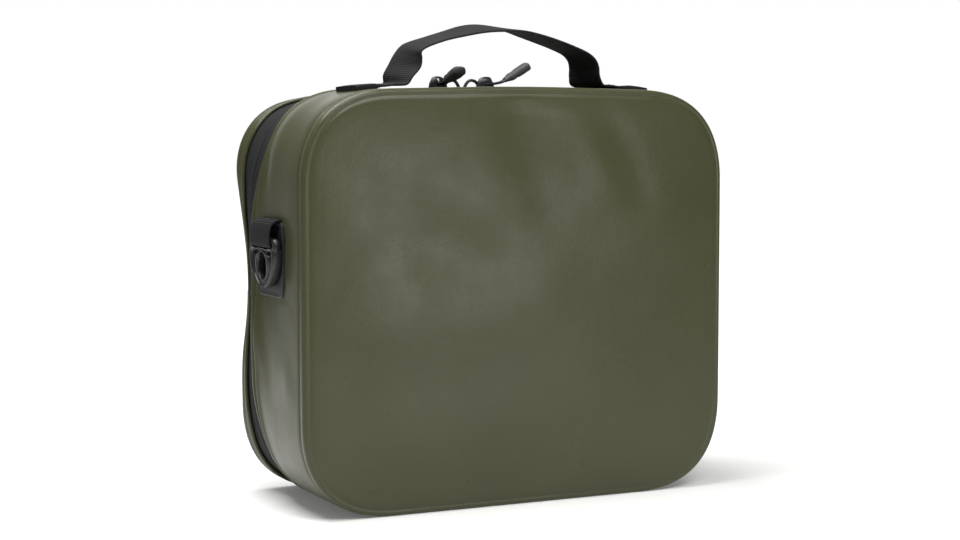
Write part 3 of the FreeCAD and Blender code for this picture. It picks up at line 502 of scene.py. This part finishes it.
# %% Woven and moulded materials
def woven(name, dark, light, rib, groove, rough):
    """Ribs across the width: sin of the distance along, with a finer warp between them."""
    made, tree, shader, place = new_material(name)
    cloth = node(tree, "ShaderNodeUVMap", {"uv_map": "cloth"}).outputs[0]
    apart = node(tree, "ShaderNodeSeparateXYZ", i0=cloth)
    ribs = maths(tree, "SINE", maths(tree, "MULTIPLY", apart.outputs[1], 2 * PI / rib))
    warp = maths(tree, "SINE", maths(tree, "MULTIPLY", apart.outputs[0], 2 * PI / (0.8 * rib)))
    both = maths(tree, "MULTIPLY_ADD", warp, 0.3, ribs)
    height = ramp(tree, both, 0, 1, -1.2, 1.2)
    worn = ramp(tree, noise(tree, place, 14 * MM, 3), -0.2, 0.2)
    # painted shade: the colour follows the rib height, darker in the grooves and lighter on the crests, with
    # random tone on top
    rib_shade_and_tone = maths(tree, "ADD", height, worn)
    tree.links.new(two_colours(tree, rib_shade_and_tone, dark, light), shader.inputs["Base Color"])
    tree.links.new(bump(tree, height, groove), shader.inputs["Normal"])
    shader.inputs["Roughness"].default_value = rough
    shader.inputs["Specular IOR Level"].default_value = 0.15
    return made


def moulded(name, dark, light, rough, grain=0.6 * MM, depth=0.02 * MM):
    made, tree, shader, place = new_material(name)
    drift = ramp(tree, noise(tree, place, 12 * MM, 3), 0, 1)
    tree.links.new(two_colours(tree, drift, dark, light), shader.inputs["Base Color"])
    tree.links.new(ramp(tree, noise(tree, place, 5 * MM, 2), rough - 0.05, rough + 0.07),
                   shader.inputs["Roughness"])
    tree.links.new(bump(tree, noise(tree, place, grain, 2), depth), shader.inputs["Normal"])
    return made


def metal(name, colour, rough):
    made, tree, shader, place = new_material(name)
    shader.inputs["Base Color"].default_value = linear(colour)
    shader.inputs["Metallic"].default_value = 1.0
    tree.links.new(ramp(tree, noise(tree, place, 3 * MM, 3), rough - 0.06, rough + 0.1),
                   shader.inputs["Roughness"])
    return made


WEBBING = woven("polyester_webbing_black", "#151516", "#242425", 1.5 * MM, 0.12 * MM, 0.75)
ZIP_TAPE = woven("zip_tape_knitted", "#1b1b1c", "#272829", 1.1 * MM, 0.06 * MM, 0.7)
NYLON_COIL = moulded("nylon_zip_coil", "#111113", "#1b1b1d", 0.38)
ACETAL = moulded("acetal_moulded_black", "#1a1a1b", "#242425", 0.36)
FILLED_NYLON = moulded("glass_filled_nylon", "#17181a", "#212224", 0.5, 0.9 * MM, 0.05 * MM)
SLIDER_ZINC = moulded("painted_zinc_slider", "#151517", "#202023", 0.3)
GRIP_RUBBER = moulded("soft_rubber_grip", "#2f3032", "#414245", 0.62)
BACKING_CLOTH = moulded("black_coated_backing", "#17181a", "#232425", 0.55, 1.1 * MM, 0.06 * MM)
PE_BOARD = moulded("polyethylene_board", "#1d1e1f", "#282a2b", 0.55, 1.5 * MM, 0.08 * MM)
THREAD = moulded("bonded_thread_black", "#0d0d0e", "#151516", 0.5)
BRIGHT_STEEL = metal("zinc_plated_steel", "#c3c4c2", 0.3)
SPRING_STEEL = metal("spring_steel", "#a6a5a0", 0.28)
print("materials", len(bpy.data.materials))

# %% [markdown]
# ## Sweeps and cushions
# Two ways make most of the small pieces: a section swept along a line, and a plate whose edge
# is rounded by rings that step inwards. Both are closed solids with their faces outwards.


# %% Section along a path, and a rounded plate
def unit(v):
    return v / np.maximum(np.linalg.norm(v, axis=-1, keepdims=True), 1e-12)


def oval(half_u, half_v, power=2.0, count=28, start=0.0):
    """Superellipse |u / half_u|^power + |v / half_v|^power = 1, counter-clockwise."""
    angle = start + np.linspace(0, 2 * PI, count, endpoint=False)
    c, s = np.cos(angle), np.sin(angle)
    return np.stack([half_u * np.sign(c) * np.abs(c) ** (2 / power),
                     half_v * np.sign(s) * np.abs(s) ** (2 / power)], -1)


def sweep(name, path, across, up, section, material, body, replaces=(), closed=False, sharp=35):
    """Points are path + u * across + v * up, for the section's (u, v), at each place on the path."""
    section = np.broadcast_to(section, (len(path),) + np.shape(section)[-2:])
    points = path[:, None] + section[..., :1] * across[:, None] + section[..., 1:] * up[:, None]
    walked = np.concatenate([[0], np.cumsum(np.linalg.norm(np.diff(path, axis=0), axis=1))])
    uv = np.stack([section[..., 0], np.broadcast_to(walked[:, None], points.shape[:2])], -1)
    if closed:
        points, uv = np.concatenate([points, points[:1]]), np.concatenate([uv, uv[:1]])
    else:
        ends = [points[:1].mean(1, keepdims=True), points[-1:].mean(1, keepdims=True)]
        ends = [np.broadcast_to(end, points[:1].shape) for end in ends]
        points = np.concatenate([ends[0], points, ends[1]])
        uv = np.concatenate([uv[:1], uv, uv[-1:]])
    return put(name, points, material, body, replaces, close_u=True, uv=uv, sharp=sharp, solid=True)


def cushion(name, shape, section, place, material, body, replaces=(), sharp=35):
    """A closed plate: rings of shape (n, 2) moved inwards by each (inset, height) of section.

    place(u, v, height) turns the plate's own coordinates into the bag's.
    """
    ahead = np.roll(shape, -1, 0) - np.roll(shape, 1, 0)
    inwards = unit(np.stack([-ahead[:, 1], ahead[:, 0]], -1))
    rings = [shape + inset * inwards for inset, _ in section]
    heights = [height for _, height in section]
    middle = shape.mean(0)
    rings = [middle + (rings[0] - middle) * f for f in (0, 0.5)] + rings
    rings = rings + [middle + (rings[-1] - middle) * f for f in (0.8, 0.6, 0.4, 0.2, 0)]
    heights = [heights[0]] * 2 + heights + [heights[-1]] * 5
    flat = np.array(rings)
    level = np.broadcast_to(np.array(heights)[:, None], flat.shape[:2])
    points = place(flat[..., 0], flat[..., 1], level)
    return put(name, points, material, body, replaces, close_u=True, uv=flat, sharp=sharp, solid=True)


# %% [markdown]
# ## The zip
# The zip runs right round from one side of the bottom to the other. Its two knitted tapes come
# from under the flanges and meet at a slit; a bead stands along each side of the slit, and the
# nylon coils are on the inner face. Under the bag a strip of the fabric is the hinge.

# %% Tapes, coils and hinge
ZIP_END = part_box("zip_stop_right")[0].x
ZIP_WALK = np.linspace(ZIP_END, PERIMETER - ZIP_END, 900)
SLIT = (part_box("rear_zip_tape")[0].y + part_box("front_zip_tape")[1].y) / 2 - FRONT_Y
# distance from the slit and height above the wall, in mm: flat tape, bead, and the slit's edge
TAPE_SECTION = [(18.5, -2.2), (15, -2.3), (11, -2.35), (5, -2.3), (3.5, -1.95), (2.3, -1.65), (1.2, -1.7),
                (0.5, -2.1), (0.15, -2.9)]
FRONT_TAPE = [(SLIT / MM - away, height) for away, height in TAPE_SECTION]
REAR_TAPE = [(SLIT / MM + away, height) for away, height in TAPE_SECTION]


def on_wall(walked, depth, height):
    """A point of the wall: height above its skin, at a distance walked and a depth."""
    x, z, nx, nz = outline(walked)
    out = soft_shape(x, z, nx, nz, depth) - WALL_INSET + height
    return np.stack([x + nx * out, swayed(nx, z, depth + 0 * x), z + nz * out], -1)


def tape(name, section, body, replaces):
    line = smooth_line(section, 22) * MM
    points = on_wall(ZIP_WALK[None] + 0 * line[:, :1], line[:, :1] + 0 * ZIP_WALK[None], line[:, 1:])
    uv = np.stack([line[:, :1] + 0 * ZIP_WALK[None], ZIP_WALK[None] + 0 * line[:, :1]], -1)
    if line[0, 0] < line[-1, 0]:
        points, uv = points[::-1], uv[::-1]
    return thicken(put(name, points, ZIP_TAPE, body, replaces, uv=uv), 0.6 * MM)


def coil(name, depth, body, replaces):
    """A helix of pitch 1.6 mm, flattened to 0.7 mm, along the tape's edge."""
    walked = np.linspace(ZIP_WALK[0] + 4 * MM, ZIP_WALK[-1] - 4 * MM, 6000)
    turned = walked * 2 * PI / (1.6 * MM)
    line = on_wall(walked, depth + 1.3 * MM * np.cos(turned), -4.1 * MM + 0.7 * MM * np.sin(turned))
    ahead = unit(np.gradient(line, axis=0))
    wall = unit(np.gradient(on_wall(walked, depth, 0), axis=0))
    across = unit(np.cross(ahead, wall))
    return sweep(name, line, across, np.cross(across, ahead), oval(0.34 * MM, 0.34 * MM, count=5),
                 NYLON_COIL, body, replaces)


tape("front_zip_tape_cloth", FRONT_TAPE, "front_shell", ("front_zip_tape",))
tape("rear_zip_tape_cloth", REAR_TAPE, "rear_shell", ("rear_zip_tape",))
coil("front_zip_coil_helix", SLIT - 0.6 * MM, "front_shell", ("front_zip_coil",))
coil("rear_zip_coil_helix", SLIT + 0.6 * MM, "rear_shell", ("rear_zip_coil",))
hinge_x = np.linspace(-ZIP_END, ZIP_END, 60)
hinge_y = np.linspace(SLIT - 17 * MM, SLIT + 17 * MM, 44)
grid_x, grid_y = np.meshgrid(hinge_x, hinge_y)
hinge_z = 1.7 * MM - 0.5 * MM * hump((grid_y - SLIT) / (3 * MM))
hinge = put("hinge_fabric", np.stack([grid_x, FRONT_Y + grid_y, hinge_z], -1)[::-1], TPU_OLIVE, None,
            ("front_hinge_strip", "rear_hinge_strip"))
thicken(hinge, 0.9 * MM, TPU_INNER)
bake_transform(hinge)
print(f"zip slit at {SLIT / MM:.1f} mm behind the front, {len(ZIP_WALK)} steps along")

# %% [markdown]
# ## The handle
# One length of 38 mm webbing: its ends are folded under and welded flat on the top, and between
# them it stands up in an arch. Both edges are drawn, so that it can twist a little as cloth does:
# each point is the middle of the webbing, with half the difference between back and front edge.

# %% The webbing ribbon
strap_low, strap_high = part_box("handle_strap")
HANDLE_Y = (strap_low.y + strap_high.y) / 2
HALF_WEB = (strap_high.y - strap_low.y) / 2
# x, z, and half the back-to-front difference in x and z, in mm, above the top of the bag
ARCH = [(-80.6, 4.2, -1.0, 0.4), (-78.2, 10.0, -3.2, 0.8), (-73.2, 17.0, -4.2, 1.2),
        (-70.6, 23.5, -2.6, 1.6), (-68.0, 29.2, 0.2, 2.0), (-62.0, 32.6, 0, 1.6),
        (-48.0, 37.0, 0, 1.4), (-34.0, 40.6, 0, 2.0), (-20.0, 43.9, 0, 2.8), (-8.0, 45.2, 0, 2.9),
        (4.0, 44.9, 0, 2.3), (16.0, 43.6, 0, 1.2), (30.0, 40.1, 0, 0.3), (45.0, 35.7, 0, 0),
        (57.0, 31.7, 0, 0), (67.0, 27.6, -0.4, 0), (72.6, 23.0, -1.2, 0), (74.8, 17.4, -1.9, 0),
        (75.2, 10.6, -2.4, 0), (78.0, 4.2, -3.4, 0)]


def handle_edges(sign):
    """Back (sign 1) or front (-1) edge: welded tail, arch and the other tail."""
    depth = HANDLE_Y + sign * HALF_WEB - FRONT_Y
    tail = np.array([17.2, 10, 2, -6, -13]) * MM
    lift = np.array([1.6, 1.6, 1.7, 2.1, 2.9]) * MM
    left = on_wall(RUN_STARTS[5] + tail, depth, lift)[:, ::2]
    right = on_wall(RUN_STARTS[4] - tail, depth, lift)[:, ::2]
    arch = np.array([(x + sign * dx, HEIGHT / MM + z + sign * dz) for x, z, dx, dz in ARCH]) * MM
    return np.concatenate([left, arch, right[::-1]])


edges = smooth_line(np.hstack([handle_edges(1), handle_edges(-1)]), 300)
back_edge = np.stack([edges[:, 0], np.full(300, HANDLE_Y + HALF_WEB), edges[:, 1]], -1)
front_edge = np.stack([edges[:, 2], np.full(300, HANDLE_Y - HALF_WEB), edges[:, 3]], -1)
centre = (back_edge + front_edge) / 2
across = unit(back_edge - front_edge)
up = unit(np.cross(across, unit(np.gradient(centre, axis=0))))
up = up * np.sign(up[150, 2])
ends = np.minimum(np.arange(300), np.arange(300)[::-1])[:, None, None] / 300
doubled = 1 + 1.3 * (1 - step(0.05, 0.075, ends))
web_section = oval(HALF_WEB, 0.95 * MM, 7, 72, 0.02) * np.concatenate([np.ones_like(doubled), doubled], -1)
handle = sweep("handle_webbing", centre, across, up, web_section, WEBBING, None,
               ("handle_strap", "handle_tail_left", "handle_tail_right"), sharp=60)
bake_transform(handle)


def stitches(name, points, ahead, up, body, long=2.4 * MM, thick=0.32 * MM):
    """Short rounded dashes: one stretched octahedron-like bead at each point, as one mesh."""
    beads = 6
    t = np.linspace(-1, 1, 7)
    size = np.sqrt(1 - t**2 * 0.999)[:, None]
    angle = np.linspace(0, 2 * PI, beads, endpoint=False)
    side = unit(np.cross(ahead, up))
    ring = (np.cos(angle)[None, :, None] * side[:, None] + np.sin(angle)[None, :, None] * up[:, None])
    p = points[:, None, None] + (t[:, None] * long / 2)[None, :, :, None] * ahead[:, None, None] \
        + (size * thick)[None, :, :, None] * ring[:, None]
    count = len(points)
    index = np.arange(count * 7 * beads).reshape(count, 7, beads)
    after = np.roll(index, -1, 2)
    quads = np.stack([index[:, :-1], after[:, :-1], after[:, 1:], index[:, 1:]], -1).reshape(-1, 4)
    caps = np.concatenate([index[:, 0, ::-1], index[:, -1]])
    mesh = bpy.data.meshes.new(name)
    mesh.from_pydata(p.reshape(-1, 3).tolist(), [], quads.tolist() + caps.tolist())
    mesh.polygons.foreach_set("use_smooth", [True] * len(mesh.polygons))
    return finish_piece(bpy.data.objects.new(name, mesh), THREAD, body)


tail_rows, tail_up = [], []
for near in (11, 15, 30, 34):
    for place in (near, 299 - near):
        spread = np.linspace(-0.84, 0.84, 11)[:, None] * HALF_WEB
        tail_rows.append(centre[place] + spread * across[place] + up[place] * 0.98 * MM)
        tail_up.append(np.repeat(up[place][None], 11, 0))
tail_rows, tail_up = np.concatenate(tail_rows), np.concatenate(tail_up)
stitches("handle_stitches", tail_rows, np.repeat([[0, 1.0, 0]], len(tail_rows), 0), tail_up,
         "front_shell")
print(f"handle {HALF_WEB * 2 / MM:.0f} mm wide, top at {centre[:, 2].max() / MM:.1f} mm")

# %% [markdown]
# ## The side rings
# On each side wall a black patch is stitched, and a loop of webbing holds a moulded ring. The
# ring is thick: a rim stands round its eye, a narrow slot lies on each side, and the outer frame
# is rounded. It is one section that changes as it goes round the eye.

# %% Ring, loop and backing
RING_Y = (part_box("d_ring_left")[0].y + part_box("d_ring_left")[1].y) / 2
ring_low, ring_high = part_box("d_ring_right")
BAR_X = (ring_low.x + ring_high.x) / 2
BAR_Z = ring_high.z - (ring_high.x - ring_low.x) / 2
EYE_Z, EYE_HALF, EYE_TALL = 175.5 * MM, 8.5 * MM, 9.5 * MM
# part of the way from the eye to the outer edge, and height from the ring's middle plane in mm
RING_SECTION = [(0.04, -3.0), (0.0, -1.5), (0.0, 1.6), (0.05, 2.9), (0.16, 3.4), (0.27, 2.9),
                (0.33, 1.2), (0.38, -1.5), (0.52, -1.7), (0.60, -0.8), (0.66, 1.6), (0.75, 3.2),
                (0.86, 3.7), (0.95, 2.8), (1.0, 0.6), (1.0, -2.6), (0.93, -4.4), (0.82, -4.9),
                (0.5, -4.9), (0.2, -4.3)]


def ring_outer(angle):
    """Outer edge of the ring as a distance from the eye's middle, by angle: flat top, round foot."""
    table = np.array([(-90, 15.6), (-65, 16.4), (-40, 17.6), (-15, 20.2), (5, 23.6), (19, 26.0),
                      (28, 27.2), (33, 25.6), (40, 19.8), (55, 14.8), (90, 12.3)])
    turn = np.degrees(angle) % 360
    folded = np.where(turn <= 90, turn, np.where(turn <= 270, 180 - turn, turn - 360))
    return np.interp(folded, table[:, 0], table[:, 1]) * MM


def side_ring(label, side):
    body = f"ring_{label}"
    angle = np.linspace(0, 2 * PI, 160, endpoint=False)
    outer = ring_outer(angle)
    outer = sum(np.roll(outer, k) for k in (-2, -1, 0, 1, 2)) / 5
    eye = oval(EYE_HALF, EYE_TALL, 2.3, 160)
    eye_r = np.hypot(eye[:, 0], eye[:, 1])
    section = smooth_line(RING_SECTION + RING_SECTION[:1], 56)[:-1]
    reach = eye_r[:, None] + section[None, :, 0] * (outer - eye_r)[:, None]
    room = step(5 * MM, 11 * MM, outer - eye_r)[:, None] * (1 - step(-0.2, 0.5, -np.sin(angle)))[:, None]
    floor_level = 1.9 + (section[None, :, 1] - 1.9) * room
    in_slot = (section[None, :, 0] > 0.3) & (section[None, :, 0] < 0.7) & (np.arange(56 - 1)[None] < 34)
    level = np.where(in_slot, floor_level, section[None, :, 1]) * MM
    level = level * (0.8 + 0.2 * step(-0.9, 0.3, np.sin(angle)))[:, None]
    points = np.stack([side * (BAR_X + level), RING_Y + reach * np.cos(angle)[:, None],
                       EYE_Z + reach * np.sin(angle)[:, None]], -1)
    put(f"d_ring_frame_{label}", np.concatenate([points, points[:1]]), ACETAL, body,
        (f"d_ring_{label}",), close_u=True, sharp=50, solid=True)
    bar = smooth_line([(-19.5, -11), (-21.8, -6), (-22.2, -2.4), (-20.6, -0.3), (-17, 0), (0, 0), (17, 0),
                       (20.6, -0.3), (22.2, -2.4), (21.8, -6), (19.5, -11)], 90) * MM
    path = np.stack([np.full(90, side * BAR_X), RING_Y + bar[:, 0], BAR_Z + bar[:, 1]], -1)
    out = np.repeat([[side, 0, 0.0]], 90, 0)
    sweep(f"d_ring_bar_{label}", path, out, unit(np.cross(np.gradient(path, axis=0), out)),
          oval(2.75 * MM, 2.7 * MM, 2.4, 20), ACETAL, body)

    loop = smooth_line([(-5.1, 15.2), (-2.4, 15.0), (1.2, 13.0), (3.4, 8.6), (4.0, 3.0), (3.6, -2.2),
                        (0.4, -4.4), (-3.0, -3.3), (-4.0, 0.2), (-4.2, 6.4), (-5.1, 12.4)], 120) * MM
    path = np.stack([side * (BAR_X + loop[:, 0]), np.full(120, RING_Y), BAR_Z + loop[:, 1]], -1)
    along_y = np.repeat([[0, 1.0, 0]], 120, 0)
    up = unit(np.cross(np.gradient(path, axis=0), along_y))
    sweep(f"ring_webbing_{label}", path, along_y, up, oval(HALF_WEB, 0.8 * MM, 7, 60, 0.03), WEBBING,
          "front_shell", (f"ring_tab_{label}",), sharp=60)
    rows, rows_up = [], []
    for part in (0.09, 0.13, 0.17):
        place = int(part * 120)
        out_up = up[place] * np.sign(up[place, 0] * side)
        spread = np.linspace(-0.86, 0.86, 12)[:, None] * HALF_WEB
        rows.append(path[place] + spread * along_y[place] + out_up * 0.8 * MM)
        rows_up.append(np.repeat(out_up[None], 12, 0))
    stitches(f"ring_stitches_{label}", np.concatenate(rows), np.repeat([[0, 1.0, 0]], 36, 0),
             np.concatenate(rows_up), "front_shell", 2.6 * MM, 0.36 * MM)

    back_low, back_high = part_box(f"ring_backing_{label}")
    half_u, half_v = (back_high.y - back_low.y) / 2, (back_high.z - back_low.z) / 2
    middle_y, middle_z = (back_high.y + back_low.y) / 2, (back_high.z + back_low.z) / 2

    def on_side(u, v, height):
        """The patch lies on the soft wall."""
        z = middle_z + v
        depth = middle_y + u - FRONT_Y
        away = soft_shape(side * HALF_WIDTH, z, np.full_like(z, side), np.zeros_like(z), depth)
        return np.stack([side * (HALF_WIDTH + away + height), middle_y + u, z], -1)

    cushion(f"ring_backing_patch_{label}", oval(half_u, half_v, 9, 96, 0.01),
            [(2 * MM, -1.2 * MM), (0, -0.9 * MM), (0, 0.6 * MM), (0.5 * MM, 1.1 * MM), (1.4 * MM, 1.3 * MM),
             (2.6 * MM, 1.0 * MM), (4 * MM, 1.2 * MM), (9 * MM, 1.3 * MM)], on_side, BACKING_CLOTH,
            "front_shell", (f"ring_backing_{label}",))


for label, side in (("left", -1), ("right", 1)):
    side_ring(label, side)
print(f"rings at y {RING_Y / MM:.1f} mm, bar {BAR_Z / MM:.1f} mm up")

# %% [markdown]
# ## The zip pulls
# Two sliders meet on the top of the bag. Each has an arched housing, a little eye at its nose
# for a padlock, a metal tab on a swivel, and a ribbed rubber grip that is moulded over the tab.

# %% Sliders, tabs and grips
slider_low, slider_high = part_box("slider_left")
SLIDER_Y = (slider_low.y + slider_high.y) / 2
SLIDER_BASE = slider_low.z
PIVOT_Z = 304.5 * MM


def slider(label, nose):
    """nose is 1 or -1: the way that the slider's nose points along X."""
    low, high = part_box(f"slider_{label}")
    x0 = (low.x + high.x) / 2

    def placed(u, v, height):
        return np.stack([x0 + u, SLIDER_Y + v, SLIDER_BASE + height], -1)

    cushion(f"slider_body_{label}", oval(8.0 * MM, 5.0 * MM, 3, 48),
            [(0.6 * MM, 0), (0, 0.5 * MM), (0, 1.6 * MM), (0.5 * MM, 2.3 * MM), (1.4 * MM, 2.7 * MM)],
            placed, SLIDER_ZINC, f"slider_{label}", (f"slider_{label}",))
    cushion(f"slider_housing_{label}", oval(8.2 * MM, 2.9 * MM, 2.6, 40) - [nose * 0.6 * MM, 0],
            [(0.4 * MM, 2.2 * MM), (0, 3.2 * MM), (0, 9.4 * MM), (0.5 * MM, 11.8 * MM), (1.2 * MM, 13.0 * MM),
             (2.0 * MM, 13.6 * MM)],
            lambda u, v, h: np.stack([x0 + u * (1 - 0.25 * np.clip(h / (12 * MM), 0, 1) ** 3), SLIDER_Y + v,
                                      SLIDER_BASE + h - 1.6 * MM * (u / (8 * MM)) ** 2 * (h > 4 * MM)
                                      - nose * u * 0.10 * (h > 4 * MM)], -1),
            SLIDER_ZINC, f"swivel_{label}", (f"pull_swivel_{label}",))
    eye = smooth_line([(3.0, 2.2), (5.4, 8.2), (9.0, 10.6), (12.8, 10.2), (15.6, 7.0), (17.0, 2.2)], 50) * MM
    path = np.stack([x0 + nose * eye[:, 0], np.full(50, SLIDER_Y - nose * 1.3 * MM),
                     SLIDER_BASE + eye[:, 1]], -1)
    side = np.repeat([[0, 1.0, 0]], 50, 0)
    sweep(f"slider_eye_{label}", path, side, unit(np.cross(np.gradient(path, axis=0), side)),
          oval(1.3 * MM, 1.15 * MM, 3, 16), SLIDER_ZINC, f"slider_{label}")
    return x0


def pull(label, x0, bends):
    """The tab and grip follow a line in the pull's own plane; bends are (out, up) in mm."""
    turn = {"left": -PI / 2, "right": 0.0}[label]
    ahead = np.array([math.cos(turn), math.sin(turn), 0])
    side = np.array([-math.sin(turn), math.cos(turn), 0])
    line = smooth_line(bends, 120) * MM
    path = np.array([x0, SLIDER_Y, PIVOT_Z]) + line[:, :1] * ahead + line[:, 1:] * [0, 0, 1.0]
    sides = np.repeat(side[None], 120, 0)
    ups = unit(np.cross(np.gradient(path, axis=0), sides))
    walked = np.concatenate([[0], np.cumsum(np.linalg.norm(np.diff(line, axis=0), axis=1))])
    split = int(np.searchsorted(walked, walked[-1] - 24 * MM))
    t = np.linspace(0, 1, split + 10)
    wide = (3.4 + 0.6 * hump(t * 2)) * MM
    tab = oval(1, 1, 3, 20)[None] * np.stack([wide, np.full_like(wide, 1.05 * MM)], -1)[:, None]
    covered = split + 10
    sweep(f"pull_tab_{label}_metal", path[:covered], sides[:covered], ups[:covered], tab, SLIDER_ZINC,
          f"pull_{label}", (f"pull_tab_{label}",))
    grip_walk = (walked[split:] - walked[split]) / (walked[-1] - walked[split])
    ridges = 0.28 * MM * np.maximum(0, np.sin(grip_walk * 2 * PI * 11)) * step(0.42, 0.5, grip_walk) \
        * (1 - step(0.93, 0.97, grip_walk))
    swell = (3.6 + 1.7 * step(0, 0.25, grip_walk) - 0.5 * hump((grip_walk - 0.36) / 0.16)) * MM
    thick = (1.7 + 1.5 * step(0, 0.3, grip_walk) - 0.3 * hump((grip_walk - 0.38) / 0.18)) * MM + ridges
    blunt = np.sqrt(np.clip(1 - ((grip_walk - 0.90) / 0.104).clip(0, 1) ** 2, 0.02, 1))
    grip = oval(1, 1, 3.2, 28)[None] * np.stack([swell * blunt, thick * blunt], -1)[:, None]
    sweep(f"pull_grip_{label}_rubber", path[split:], sides[split:], ups[split:], grip, GRIP_RUBBER,
          f"pull_{label}", (f"pull_grip_{label}",), sharp=80)


left_x, right_x = slider("left", 1), slider("right", -1)
pull("left", left_x, [(-1.5, 0), (4, 1.0), (13, 2.6), (24, 6.2), (38, 11.0)])
pull("right", right_x, [(-1.5, 0.4), (6, 1.2), (12.5, 2.2), (17, 3.8), (25, 8.0), (38.5, 16.0)])
bail_turn = np.linspace(0.1 * PI, 0.9 * PI, 24)
bail = np.stack([np.full(24, left_x - 1.5 * MM), SLIDER_Y + 3.7 * MM * np.cos(bail_turn),
                 SLIDER_BASE + 8.0 * MM + 4.6 * MM * np.sin(bail_turn)], -1)
sweep("bail_left", bail, np.repeat([[1.0, 0, 0]], 24, 0),
      unit(np.cross(np.gradient(bail, axis=0), [1.0, 0, 0])), oval(0.45 * MM, 0.4 * MM, 2, 12), BRIGHT_STEEL,
      "swivel_left")
print(f"sliders at x {left_x / MM:.0f} and {right_x / MM:.0f} mm")

# %% [markdown]
# ## Hard parts that keep their CAD shape
# The rack rail, hooks, latches, anchor, board and screws are plain moulded or turned parts.
# They keep the CAD surface and get the finish of what they are made of.

# %% Finishes for the CAD pieces
FINISHES = {"hook_rail": FILLED_NYLON, "hook_left": FILLED_NYLON, "hook_right": FILLED_NYLON,
            "latch_left": ACETAL, "latch_right": ACETAL, "anchor_plate": FILLED_NYLON,
            "anchor_hook": FILLED_NYLON, "anchor_pivot": BRIGHT_STEEL, "rail_screws": BRIGHT_STEEL,
            "rail_nuts": BRIGHT_STEEL, "anchor_screws": BRIGHT_STEEL, "anchor_nuts": BRIGHT_STEEL,
            "latch_pin_left": BRIGHT_STEEL, "latch_pin_right": BRIGHT_STEEL,
            "latch_spring_left": SPRING_STEEL, "latch_spring_right": SPRING_STEEL,
            "stiffener_board": PE_BOARD, "zip_stop_left": NYLON_COIL, "zip_stop_right": NYLON_COIL}
for name, finish in FINISHES.items():
    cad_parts[name].data.materials.clear()
    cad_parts[name].data.materials.append(finish)
left_plain = [name for name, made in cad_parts.items()
              if not made.hide_render and name not in FINISHES]
print("CAD pieces without a finish:", left_plain)

# %% [markdown]
# ## Camera and light
# The camera stands to the left of the bag, at the height of its top, with a long lens.
# A big soft panel above gives the shoulders their gloss. One high in front shades the front from
# top to bottom, and a small low one on the right lays the soft patches on the satin front.


# %% Camera
camera_data = bpy.data.cameras.new("camera")
camera = bpy.data.objects.new("camera", camera_data)
bpy.context.scene.collection.objects.link(camera)
bpy.context.scene.camera = camera
camera_data.sensor_width = 36
camera_data.lens = 75.0
camera_data.clip_start = 0.01
CAMERA_YAW, CAMERA_PITCH = math.radians(26.6), math.radians(4.475)
camera.location = (-0.671, FRONT_Y - 1.270, 0.283)
camera.rotation_euler = (PI / 2 - CAMERA_PITCH, 0, -CAMERA_YAW)
CAMERA_AHEAD = (math.sin(CAMERA_YAW), math.cos(CAMERA_YAW), 0)
CAMERA_ASIDE = (math.cos(CAMERA_YAW), -math.sin(CAMERA_YAW), 0)
CAMERA_BACK = 1.52


# %% Floor and lights
def soft_light(name, place, target, size, power, colour="#ffffff"):
    lamp = bpy.data.lights.new(name, "AREA")
    lamp.shape, lamp.size, lamp.size_y = "RECTANGLE", size[0], size[1]
    lamp.energy, lamp.color = power, linear(colour)[:3]
    holder = bpy.data.objects.new(name, lamp)
    holder.location = place
    holder.rotation_euler = (Vector(target) - Vector(place)).to_track_quat("-Z", "Y").to_euler()
    bpy.context.scene.collection.objects.link(holder)


def along_direction(tree, place, direction):
    """How far a place lies along a direction: their dot product."""
    return node(tree, "ShaderNodeVectorMath", {"operation": "DOT_PRODUCT"}, i0=place,
                i1=direction).outputs["Value"]


def smooth_range(tree, value, source, target):
    return node(tree, "ShaderNodeMapRange", {"interpolation_type": "SMOOTHSTEP"}, Value=value,
                From_Min=source[0], From_Max=source[1], To_Min=target[0], To_Max=target[1]).outputs[0]


floor_mesh = bpy.data.meshes.new("floor")
reach = 6.0
floor_mesh.from_pydata([(-reach, -reach, 0), (reach, -reach, 0), (reach, reach, 0), (-reach, reach, 0)],
                       [], [(0, 1, 2, 3)])
floor = bpy.data.objects.new("floor", floor_mesh)
bpy.context.scene.collection.objects.link(floor)
paper, paper_tree, paper_shader, paper_place = new_material("paper_floor_with_painted_glow")
paper_shader.inputs["Base Color"].default_value = linear("#f4f4f2")
paper_shader.inputs["Roughness"].default_value = 0.9
paper_shader.inputs["Emission Color"].default_value = (1, 1, 1, 1)
floor_mesh.materials.append(paper)
# painted light: the paper glows white towards the camera's far side, and only as wide as the camera sees
behind = along_direction(paper_tree, paper_place, CAMERA_AHEAD)
beside = maths(paper_tree, "ABSOLUTE", along_direction(paper_tree, paper_place, CAMERA_ASIDE))
spread = maths(paper_tree, "DIVIDE", beside, maths(paper_tree, "ADD", behind, CAMERA_BACK))
inside = smooth_range(paper_tree, spread, (0.26, 0.42), (1.0, 0.0))
glow = maths(paper_tree, "MULTIPLY", smooth_range(paper_tree, behind, (-0.1, 1.5), (0.1, 0.95)), inside)
paper_tree.links.new(glow, paper_shader.inputs["Emission Strength"])
world = bpy.data.worlds.new("studio")
bpy.context.scene.world = world
world.use_nodes = True
sky = world.node_tree
seen = node(sky, "ShaderNodeTexCoord").outputs["Generated"]
paper_card = smooth_range(sky, along_direction(sky, seen, CAMERA_AHEAD), (0.80, 0.93), (0.22, 1.0))
sky.links.new(paper_card, sky.nodes["Background"].inputs["Strength"])
sky.nodes["Background"].inputs["Color"].default_value = (1, 1, 1, 1)
bpy.context.scene.view_settings.view_transform = "Standard"
middle = (0, 0, 0.15)
soft_light("overhead", (-0.3, 0.05, 1.15), middle, (1.0, 0.75), 18)
soft_light("front_high", (0.1, -0.95, 1.1), (0, 0, 0.27), (0.9, 0.5), 10)
soft_light("front_right", (0.63, -1.72, 0.19), (-0.1, FRONT_Y, 0.235), (0.34, 0.30), 3.2)
